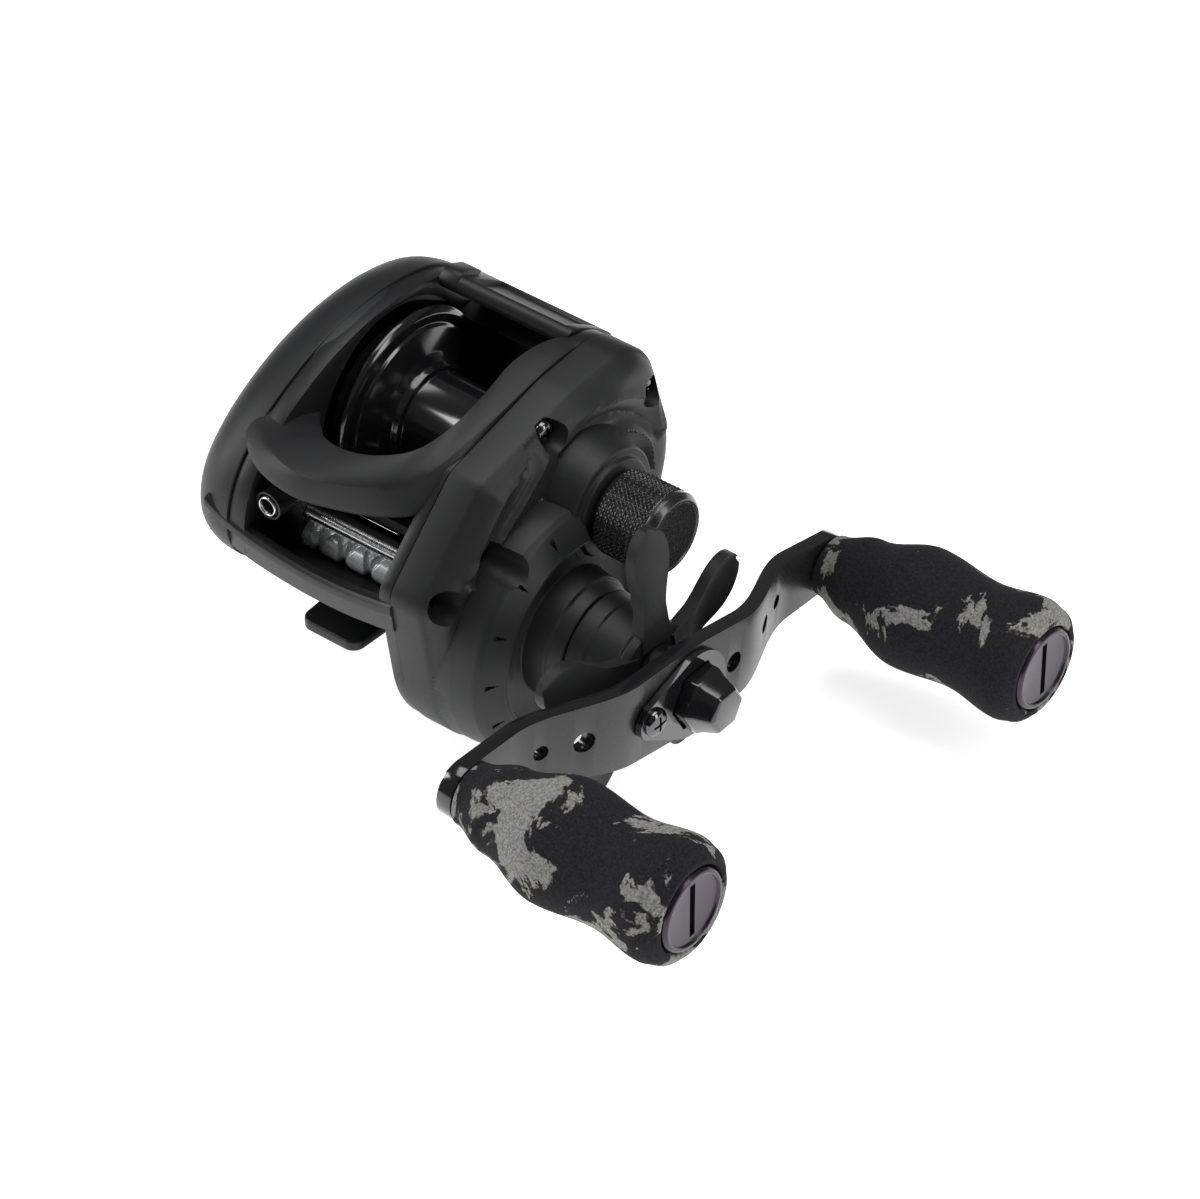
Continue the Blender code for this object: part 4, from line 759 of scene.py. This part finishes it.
# Face height over shrunken outlines: a rounded shoulder, then each crease adds a tent of its own height and
# width.
def plateFace():
    outline = shrunk(evenOutline(handleCircles, 420), 0.15)
    centre = plateShape["centre"]
    shares = np.concatenate([[0, 0.01, 0.025, 0.045, 0.07, 0.10, 0.135], np.linspace(0.17, 0.985, 74)])
    y = centre[0] + (outline[None, :, 0] - centre[0]) * (1 - shares[:, None])
    z = centre[1] + (outline[None, :, 1] - centre[1]) * (1 - shares[:, None])
    step = (y[..., None] - outline[::2, 0]) ** 2 + (z[..., None] - outline[::2, 1]) ** 2
    inset = np.sqrt(step.min(axis=-1))
    inset[0] = 0
    share = np.clip(inset / plateShape["shoulder"], 0, 1)
    height = plateShape["rise"] - 3.6 * (1 - share) ** 2.2
    for route, rise, width in plateShape["creases"]:
        height = height + rise * np.clip(1 - distanceTo(route, y, z) / width, 0, 1) ** 1.2 * share
    top = np.stack([seam + height, y, z], axis=-1)
    base = np.stack([np.full_like(y[0], seam), y[0], z[0]], axis=-1)
    return np.concatenate([base[None], top]), False, True


# Sculpted cover: a creased face, the gear housing with its bevelled rim, the dome and the cast-control
# tube.
def makeHandlePlate():
    r = plateShape["housingR"]
    piece = tool("handlePlateMoulded", plateFace())
    rim, dome, base = seam + 16.0, seam + 20.8, seam + 15.3
    housing = [
        (seam + 0.4, 0.05), (seam + 0.4, r - 0.2), (seam + 9, r - 0.3), (seam + 13.2, r - 0.9),
        (seam + 14.0, r - 1.6),
        (rim, r - 5.2), (rim + 0.25, r - 5.5), (rim + 0.25, r - 6.1), (rim - 1.7, r - 6.7),
        (rim - 1.9, bearingR + 5.6),
        (rim - 1.7, bearingR + 3.9), (dome - 2.5, bearingR + 3.4), (dome - 2.3, bearingR + 2.9),
        (dome, bearingR + 2.3),
        (dome, 0.05),
    ]
    boss = tool("housing", turned(housing, shaftAxis, 240, radius=0.28))
    cuts = [tool("capSpace", rodGrid(spoolAxis, 7.7, base - 0.3, dome + 1, 120))]
    for number in range(plateShape["marks"]):  # small wedge marks round the bevel
        angle = math.radians(100 + 26 * number)
        way = np.array([math.cos(angle), math.sin(angle)])
        side = np.array([-math.sin(angle), math.cos(angle)])
        middle = np.array(shaftAxis)
        wedge = np.array([middle + way * 18.0, middle + way * 21.4 + side * 0.9,
                          middle + way * 21.4 - side * 0.9])
        stations = ((rim - 1.6, 0.0), (rim + 1.2, 0.6))
        rings = [np.column_stack([np.full(3, x), wedge - way * lean]) for x, lean in stations]
        cuts.append(tool(f"mark{number}", (np.array(rings), False, True)))
    reshape(boss, cuts)
    tube = [
        (seam + 0.7, 0.05), (seam + 0.7, 12.0), (seam + 8.5, 11.6), (seam + 12.5, 10.2), (seam + 14.2, 9.8),
        (seam + 14.2, 8.4), (base - 0.3, 8.2), (base - 0.3, 5.0), (base + 4.9, 5.0), (base + 4.9, 0.05),
    ]
    reshape(piece, [boss, tool("tube", turned(tube, spoolAxis, 120, radius=0.3))], "UNION")
    cuts = []
    for name in screwNodes:
        low, high = spanOf(name)
        middle = (low + high) / 2
        head = high[0] - 1.3
        pocket = [(head - 0.2, 2.25), (head + 0.7, 2.3), (head + 4.4, 3.0), (head + 12, 3.6)]
        cuts.append(tool(name + "Pocket", turned(pocket, (middle[1], middle[2]), 64)))
    cuts.append(tool("oneWaySeat", rodGrid(shaftAxis, bearingR + 0.15, seam + 12, dome + 1, 120)))
    reshape(piece, cuts)
    dress(piece, "shell", "reel_body", ["handle_side_plate"], 26)


footShape = {"end": (3.6, 29.3, 2.2), "middle": (0.8, 6.0, 6.0), "thick": 2.0}  # corner circles: X, Y, radius


# Flat bar whose outline goes round four small circles at its ends and four large ones at its middle.
def makeFoot():
    signs = [(sx, sy) for sx in (-1, 1) for sy in (-1, 1)]
    circles = [(sx * x, sy * y, r) for x, y, r in (footShape["end"], footShape["middle"]) for sx, sy in signs]
    piece = tool("footMoulded", uprightGrid(circles, 0, footShape["thick"], 200))
    edged(piece, 0.4, 3)
    dress(piece, "frame", "reel_body", ["reel_foot"])


makeFrame()
makeHood()
makeThumbBar()
makePalmPlate()
makeHandlePlate()
makeFoot()
print("frame and covers made")


screwShape = {"crown": 1.3, "shankR": 0.85, "crossWidth": 0.24, "crossReach": 0.62, "crossDepth": 0.9}


# Domed head with a cross recess.
def crossScrew(name, node, look, body):
    low, high = spanOf(node)
    axis = ((low[1] + high[1]) / 2, (low[2] + high[2]) / 2)
    top, radius = high[0], (high[1] - low[1]) / 2
    under, shank, slit = top - screwShape["crown"], screwShape["shankR"], screwShape["crossWidth"]
    turn = np.linspace(0, np.pi / 2, 9)[1:-1]
    crown = [(under + 1.25 * math.sin(t) ** 0.8, radius * math.cos(t) ** 0.55) for t in turn]
    profile = [(low[0], 0.05), (low[0], shank), (under, shank), (under, radius), *crown, (top - 0.05, 0.05)]
    piece = tool(name, turned(profile, axis, 48, radius=0.1, steps=2))
    arm = radius * screwShape["crossReach"]
    cuts = []
    for number, (wide, tall) in enumerate(((slit, arm), (arm, slit))):
        corner = (top - screwShape["crossDepth"], axis[0] - wide, axis[1] - tall)
        cuts.append(tool(name + str(number), boxGrid(corner, (top + 1, axis[0] + wide, axis[1] + tall))))
    reshape(piece, cuts)
    dress(piece, look, body, [node])


for node in screwNodes:
    crossScrew(node + "Head", node, "chrome", "reel_body")
crossScrew("retainerScrewHead", "retainer_screw", "chrome", "handle")
print("screws made")


castShape = {"radius": 7.1, "pitch": 52, "relief": 0.26, "around": 400, "along": 90}


# Knurled barrel: the radius rises and falls as two crossed helical ridges, then a bevel and a flat face.
def makeCastCap():
    low, high = spanOf("cast_control_cap")
    base, face, radius = low[0], high[0], castShape["radius"]
    count, pitch, relief = castShape["around"], castShape["pitch"], castShape["relief"]
    angle = np.linspace(0, 2 * np.pi, count, endpoint=False)
    knurlX = np.linspace(base + 0.7, face - 1.9, castShape["along"])
    lead = pitch / radius
    gridX, gridA = np.meshgrid(knurlX, angle, indexing="ij")
    one = np.abs(((gridA * pitch + (gridX - base) * lead) / np.pi) % 2 - 1)
    two = np.abs(((gridA * pitch - (gridX - base) * lead) / np.pi) % 2 - 1)
    edge = np.clip(np.minimum(gridX - knurlX[0], knurlX[-1] - gridX) / 0.3, 0, 1)
    r = radius - relief + relief * edge * np.minimum(one, two) * 1.4
    knurl = np.stack([gridX, spoolAxis[0] + r * np.cos(gridA), spoolAxis[1] + r * np.sin(gridA)], axis=-1)

    front = [(face - 1.85, radius - 0.26), (face - 1.75, radius - 0.02), (face - 0.9, radius - 0.04),
             (face - 0.12, radius - 0.75), (face, radius - 1.0), (face, radius - 1.3),
             (face - 0.16, radius - 1.45),
             (face - 0.16, 0.05)]
    back = [(base + 6.4, 0.05), (base + 6.4, 5.4), (base, 5.4), (base, radius - 0.75),
            (base + 0.6, radius - 0.28)]
    ends = [turned(profile, spoolAxis, count, radius=0.15, steps=3)[0] for profile in (back, front)]
    grid = np.concatenate([ends[0], knurl, ends[1]], axis=0)
    addPiece("castCapKnurled", [(grid, False, True)], "knurl", "cast_control",
             ["cast_control_cap"], 40)


starX = seam + 21.1
starEnd = starX + 10.6
starShape = {"arms": 5, "firstArm": 13.0, "inner": 5.5, "outer": 25.35}


# One arm: width and place follow smooth curves along its length, with a dished face.
def starArmGrid(turn, steps=40):
    share = np.linspace(0, 1, steps)
    reach = starShape["inner"] + (starShape["outer"] - starShape["inner"]) * share
    widening = (1 - np.cos(np.pi * np.clip((share - 0.3) / 0.42, 0, 1))) / 2
    half = 3.5 - 0.8 * np.clip(share / 0.32, 0, 1) + 1.5 * widening
    tip = np.clip((share - 0.72) / 0.285, 0, 1)
    half = half * np.sqrt(np.maximum(0.004, 1 - tip ** 2))
    middle = starX + 10.0 - 2.7 * share
    thick = 1.9 - 0.5 * share
    across = np.linspace(-1, 1, 15)
    dish = 0.35 * (1 - across ** 2) * np.clip(share * 3 - 0.6, 0, 1)[:, None]
    front = middle[:, None] + thick[:, None] * (0.55 - dish)
    back = middle[:, None] - thick[:, None] * 0.7
    side = np.concatenate([half[:, None] * across, half[:, None] * across[::-1]], axis=1)
    x = np.concatenate([front, np.repeat(back, 15, axis=1)], axis=1)
    y = shaftAxis[0] + reach[:, None] * math.cos(turn) - side * math.sin(turn)
    z = shaftAxis[1] + reach[:, None] * math.sin(turn) + side * math.cos(turn)
    return np.stack([x, y, z], axis=-1), False, True


# Stepped dome with five dished arms.
def makeStar():
    hub = [
        (starX, 5.2), (starX, bearingR + 2.4), (starX + 3.0, bearingR + 2.0), (starX + 3.2, bearingR + 1.7),
        (starX + 6.4, bearingR + 1.1), (starX + 8.2, bearingR + 0.7), (starX + 8.8, bearingR + 1.6),
        (starX + 10.2, bearingR + 1.3),
        (starEnd, bearingR - 0.4), (starEnd, 3.15),
        (starX + 8.2, 3.15), (starX + 8.2, 5.2),
    ]
    parts = [turned(hub, shaftAxis, 160, closed=True, radius=0.4)]
    for number in range(starShape["arms"]):
        parts.append(starArmGrid(math.radians(starShape["firstArm"] + 360.0 / starShape["arms"] * number)))
    addPiece("starMoulded", parts, "shell", "star", ["star_drag"], 40)


armX, armThick, armDrop, handleReach = 52.0, 2.6, 6.5, 45.0
armShape = {
    "halfWidth": 8.0,
    "taper": 3.2,
    "bend": (13.0, 22.0),  # where the bend starts, and its length
    "holes": ((10.4, 1.5), (22.5, 1.75), (29.5, 1.3), (-11.5, 1.75), (-23.5, 1.5), (-30.0, 1.2)),
     # place, radius
    "edge": 0.35,
}
tilt = math.radians(8.0)
armWay = (-math.cos(tilt), math.sin(tilt))


# Bent plate: half width and drop are smooth functions of the reach, ends are half circles.
def makeArm():
    wide, taper = armShape["halfWidth"], armShape["taper"]
    endR = wide - taper
    reach = np.concatenate([np.linspace(-handleReach, handleReach, 181),
                            handleReach + endR * np.sin(np.linspace(0.05, np.pi / 2, 24))])
    reach = np.concatenate([-(handleReach + endR * np.sin(np.linspace(np.pi / 2, 0.05, 24))), reach])
    size = np.abs(reach)
    half = wide - taper * np.clip(size / handleReach, 0, 1) ** 1.2
    past = np.clip((size - handleReach) / endR, 0, 1)
    half = np.where(size > handleReach, endR * np.sqrt(np.maximum(1 - past ** 2, 0.0004)), half)
    share = np.clip((size - armShape["bend"][0]) / armShape["bend"][1], 0, 1)
    drop = -armDrop * share * share * (3 - 2 * share)
    ring = np.array([(-1, 0), (1, 0), (1, 1), (-1, 1)], float)
    side = half[:, None] * ring[:, 0]
    x = armX + drop[:, None] + armThick * ring[:, 1]
    y = shaftAxis[0] + reach[:, None] * armWay[0] - side * armWay[1]
    z = shaftAxis[1] + reach[:, None] * armWay[1] + side * armWay[0]
    piece = tool("armBent", (np.stack([x, y, z], axis=-1), False, True))
    cuts = [tool("bore", rodGrid(shaftAxis, 3.15, armX - 2, armX + 6))]
    for number, (along, radius) in enumerate(armShape["holes"]):
        place = offsetPoint(shaftAxis, armWay, along)
        cuts.append(tool(f"hole{number}", rodGrid(place, radius, armX - 14, armX + 6, 40)))
    for number in (1, 2):
        cuts.append(tool(f"knobHole{number}", rodGrid(knobAxes[number], 2.05, armX - 14, armX + 6, 40)))
    reshape(piece, cuts)
    edged(piece, armShape["edge"], 3, 40)
    dress(piece, "arm", "handle", ["handle_arm"])
    piece.data.materials.append(looks["gloss"])
    normals = np.zeros(len(piece.data.polygons) * 3)
    piece.data.polygons.foreach_get("normal", normals)
    sides = (np.abs(normals.reshape(-1, 3)[:, 0]) < 0.8).astype(np.int32)
    piece.data.polygons.foreach_set("material_index", sides)


nutShape = {"rings": [(0, 5.55), (3.4, 5.55), (4.4, 4.9), (7.0, 4.0), (7.4, 3.4)], "plateThick": 1.1,
            "screwAt": 10.4}


# Hexagonal nut with a tapered, faceted nose, and the plate that locks it.
def makeNut():
    start = armX + armThick + 0.3

    def hexRing(x, radius):
        angle = np.radians(np.arange(6) * 60.0)
        y, z = shaftAxis[0] + radius * np.cos(angle), shaftAxis[1] + radius * np.sin(angle)
        return np.column_stack([np.full(6, x), y, z])

    grid = np.array([hexRing(start + x, radius) for x, radius in nutShape["rings"]])
    piece = tool("nutFaceted", (grid, False, True))
    edged(piece, 0.25, 3, 20)
    dress(piece, "gloss", "handle", ["handle_nut"], 40)
    screwPlace = offsetPoint(shaftAxis, armWay, nutShape["screwAt"])
    circles = [(*shaftAxis, 7.5), (*screwPlace, 3.2)]
    plate = tool("retainerPlate", hullBlock(circles, [(start, 0), (start + nutShape["plateThick"], 0)], 160,
                                            0.25))
    hexGrid = (np.array([hexRing(start - 1, 5.9), hexRing(start + 3, 5.9)]), False, True)
    reshape(plate, [tool("hexHole", hexGrid),
                    tool("screwHole", rodGrid(screwPlace, 1.35, start - 1, start + 3, 40))])
    dress(plate, "gloss", "handle", ["nut_retainer"])
    low, high = spanOf("handle_spacer")
    profile = [(low[0], 3.2), (low[0], 5.4), (high[0], 5.4), (high[0], 3.2)]
    addPiece("spacerTurned", [turned(profile, shaftAxis, 96, closed=True)], "gloss", "handle",
             ["handle_spacer"])


makeCastCap()
makeStar()
makeArm()
makeNut()
print("cast control, star drag and handle made")


knobShape = {
    "radius": 10.332,
    "capR": 6.97,
    # share of the length, share of the radius
    "stops": [(0.0, 0.50), (0.16, 0.70), (0.42, 0.985), (0.68, 0.885), (0.90, 1.0), (0.965, 0.94),
              (1.0, 0.80)],
}


# Cosine easing between neighbouring stops.
def easeThrough(stops, value):
    xs = np.array([stop[0] for stop in stops])
    rs = np.array([stop[1] for stop in stops])
    spot = np.clip(np.searchsorted(xs, value, side="right") - 1, 0, len(xs) - 2)
    share = np.clip((value - xs[spot]) / (xs[spot + 1] - xs[spot]), 0, 1)
    return rs[spot] + (rs[spot + 1] - rs[spot]) * (1 - np.cos(np.pi * share)) / 2


# Grip: belly, waist and flared end along its length, with a slotted cap let into its end.
def makeKnob(number):
    axis = knobAxes[number]
    body = "knob_front" if number == 1 else "knob_rear"
    low, high = spanOf(f"knob_grip_{number}")
    start, end = low[0], high[0]
    share = np.linspace(0, 1, 80)
    radius = knobShape["radius"] * easeThrough(knobShape["stops"], share)
    outside = [(start + (end - start) * s, r) for s, r in zip(share, radius)]
    capLow, capHigh = spanOf(f"knob_cap_{number}")
    capR = knobShape["capR"]
    seat = capLow[0] - 0.2
    inside = [(end, capR + 0.3), (seat, capR + 0.3), (seat, 2.3), (start, 2.3)]
    foam = turned(outside + inside, axis, 180, closed=True, radius=0.5, steps=3)
    addPiece(f"gripFoam{number}", [foam], f"grip{number}", body, [f"knob_grip_{number}"], 60)
    top = capHigh[0]
    face = [(capLow[0], 0.05), (capLow[0], capR - 0.2), (top - 0.6, capR), (top - 0.1, capR - 0.35),
            (top, capR - 0.75),
            (top - 0.1, capR - 1.0), (top - 0.45, capR - 1.15), (top - 0.45, 0.05)]
    cap = tool(f"gripCap{number}", turned(face, axis, 120, radius=0.12, steps=3))
    slot = boxGrid((top - 1.4, axis[0] - 0.6, axis[1] - 4.9), (top + 1, axis[0] + 0.6, axis[1] + 4.9))
    reshape(cap, [tool("slot", slot)])
    dress(cap, "knobCap", body, [f"knob_cap_{number}"])


for number in (1, 2):
    makeKnob(number)
print("knobs made")


wormShape = {"radius": 2.38, "depth": 0.75, "pitch": 5.2, "endR": 1.55, "rodR": 1.1}


# Worm with two crossed helical grooves: the radius dips where either helix passes.
def makeWorm():
    low, high = spanOf("worm_shaft")
    start, end = -plateIn + 0.3, plateIn - 0.3
    xs = np.linspace(start, end, 260)
    angle = np.linspace(0, 2 * np.pi, 72, endpoint=False)
    gridX, gridA = np.meshgrid(xs, angle, indexing="ij")
    lead = 2 * np.pi / wormShape["pitch"]
    depth = np.zeros_like(gridX)
    for hand in (1, -1):
        phase = (gridA * hand - (gridX - start) * lead) % (2 * np.pi)
        away = np.minimum(phase, 2 * np.pi - phase)
        depth = np.maximum(depth, np.clip(1.25 - away / 0.75, 0, 1))
    fade = np.clip(np.minimum(gridX - start - 1.2, end - 1.2 - gridX) / 0.5, 0, 1)
    r = wormShape["radius"] - wormShape["depth"] * depth * fade
    barrel = np.stack([gridX, wormAxis[0] + r * np.cos(gridA), wormAxis[1] + r * np.sin(gridA)], axis=-1)
    endR = wormShape["endR"]
    parts = [(barrel, False, True), rodGrid(wormAxis, endR, low[0], start + 0.2, 48),
             rodGrid(wormAxis, endR, end - 0.2, high[0], 48)]
    addPiece("wormCut", parts, "worm", "worm", ["worm_shaft"], 40)
    low, high = spanOf("guide_rod")
    axis = ((low[1] + high[1]) / 2, (low[2] + high[2]) / 2)
    rod = rodGrid(axis, wormShape["rodR"], low[0], high[0])
    addPiece("guideRodPolished", [rod], "steel", "reel_body", ["guide_rod"])


ringShape = {"radius": 1.55, "half": 0.3, "halfDepth": 1.0}


# Polished torus: a circle carried round a circle, standing in the carriage's barrel.
def makeGuideRing():
    low, high = spanOf("guide_ring")
    centre = (low + high) / 2
    around = np.linspace(0, 2 * np.pi, 96, endpoint=False)
    across = np.linspace(0, 2 * np.pi, 24, endpoint=False)
    u, v = np.meshgrid(around, across, indexing="ij")
    radius = ringShape["radius"] + ringShape["half"] * np.cos(v)
    x, y, z = radius * np.cos(u), ringShape["halfDepth"] * np.sin(v), radius * np.sin(u)
    grid = np.stack([centre[0] + x, centre[1] + y, centre[2] + z], axis=-1)
    addPiece("guideRingPolished", [(grid, True, False)], "steel", "carriage", ["guide_ring"], 60)


makeWorm()
makeGuideRing()
print("levelwind made")


keptLooks = {"body_black": "frame", "black_metal": "gloss", "satin_metal": "satin", "steel": "steel",
             "chrome": "chrome",
             "brass": "brass", "carbon": "carbon", "foam": "grip1", "knob_cap": "knobCap",
             "worm_white": "worm"}
slotOf = {entry["node"]: entry["material_slot"] for entry in frame["record"]["subparts"]}
for name, node in frame["nodes"].items():
    node.data.materials.clear()
    node.data.materials.append(looks[keptLooks[slotOf[name]]])
print("remaining pieces finished")


studio = {"worldLight": 0.12, "floorZ": -0.0215, "floorHalf": 3, "floorGlow": 0.75}

scene = bpy.context.scene
scene.view_settings.view_transform = "Standard"
world = bpy.data.worlds.new("studio")
scene.world = world
world.use_nodes = True
world.node_tree.nodes["Background"].inputs["Color"].default_value = (1, 1, 1, 1)
world.node_tree.nodes["Background"].inputs["Strength"].default_value = studio["worldLight"]

floorMesh = bpy.data.meshes.new("studioFloor")
half = studio["floorHalf"]
corners = [(x * half, y * half, studio["floorZ"]) for x, y in ((-1, -1), (1, -1), (1, 1), (-1, 1))]
floorMesh.from_pydata(corners, [], [(0, 1, 2, 3)])
floor = bpy.data.objects.new("studioFloor", floorMesh)
bpy.context.collection.objects.link(floor)
floorLook = bpy.data.materials.new("palePaper")
floorLook.use_nodes = True
paper = floorLook.node_tree.nodes["Principled BSDF"]
paper.inputs["Base Color"].default_value = (0.93, 0.93, 0.93, 1)
paper.inputs["Roughness"].default_value = 0.9
paper.inputs["Emission Color"].default_value = (1, 1, 1, 1)
paper.inputs["Emission Strength"].default_value = studio["floorGlow"]
floorMesh.materials.append(floorLook)


# Rectangular light at a place, turned to face its aim.
def addLight(name, place, aim, size, power):
    light = bpy.data.lights.new(name, "AREA")
    light.shape = "RECTANGLE"
    light.size, light.size_y = size
    light.energy = power
    lamp = bpy.data.objects.new(name, light)
    lamp.location = place
    lamp.rotation_euler = (Vector(aim) - Vector(place)).to_track_quat("-Z", "Y").to_euler()
    bpy.context.collection.objects.link(lamp)


addLight("topSoftbox", (0.0, 0.1, 0.75), (0.02, 0, 0.02), (0.7, 0.5), 4.0)
addLight("leftStrip", (-0.55, -0.35, 0.35), (0, 0, 0.02), (0.2, 0.6), 3.0)
addLight("rightStrip", (0.65, 0.15, 0.35), (0.03, 0, 0.02), (0.2, 0.6), 2.0)

view = {"place": (0.4830, -0.5683, 0.5968), "back": (0.483, -0.605, 0.632), "azimuth": 38.6, "lens": 180.0}
cameraData = bpy.data.cameras.new("studioCamera")
cameraData.lens = view["lens"]
cameraData.sensor_width = 36.0
cameraData.clip_start = 0.05
camera = bpy.data.objects.new("studioCamera", cameraData)
lookBack = Vector(view["back"]).normalized()
bearing = math.radians(view["azimuth"])
rightWay = Vector((math.cos(bearing), math.sin(bearing), 0))
upWay = lookBack.cross(rightWay).normalized()
rightWay = upWay.cross(lookBack).normalized()
turn = Matrix((rightWay, upWay, lookBack)).transposed().to_4x4()
camera.matrix_world = Matrix.Translation(Vector(view["place"])) @ turn
bpy.context.collection.objects.link(camera)
scene.camera = camera
print("studio set")
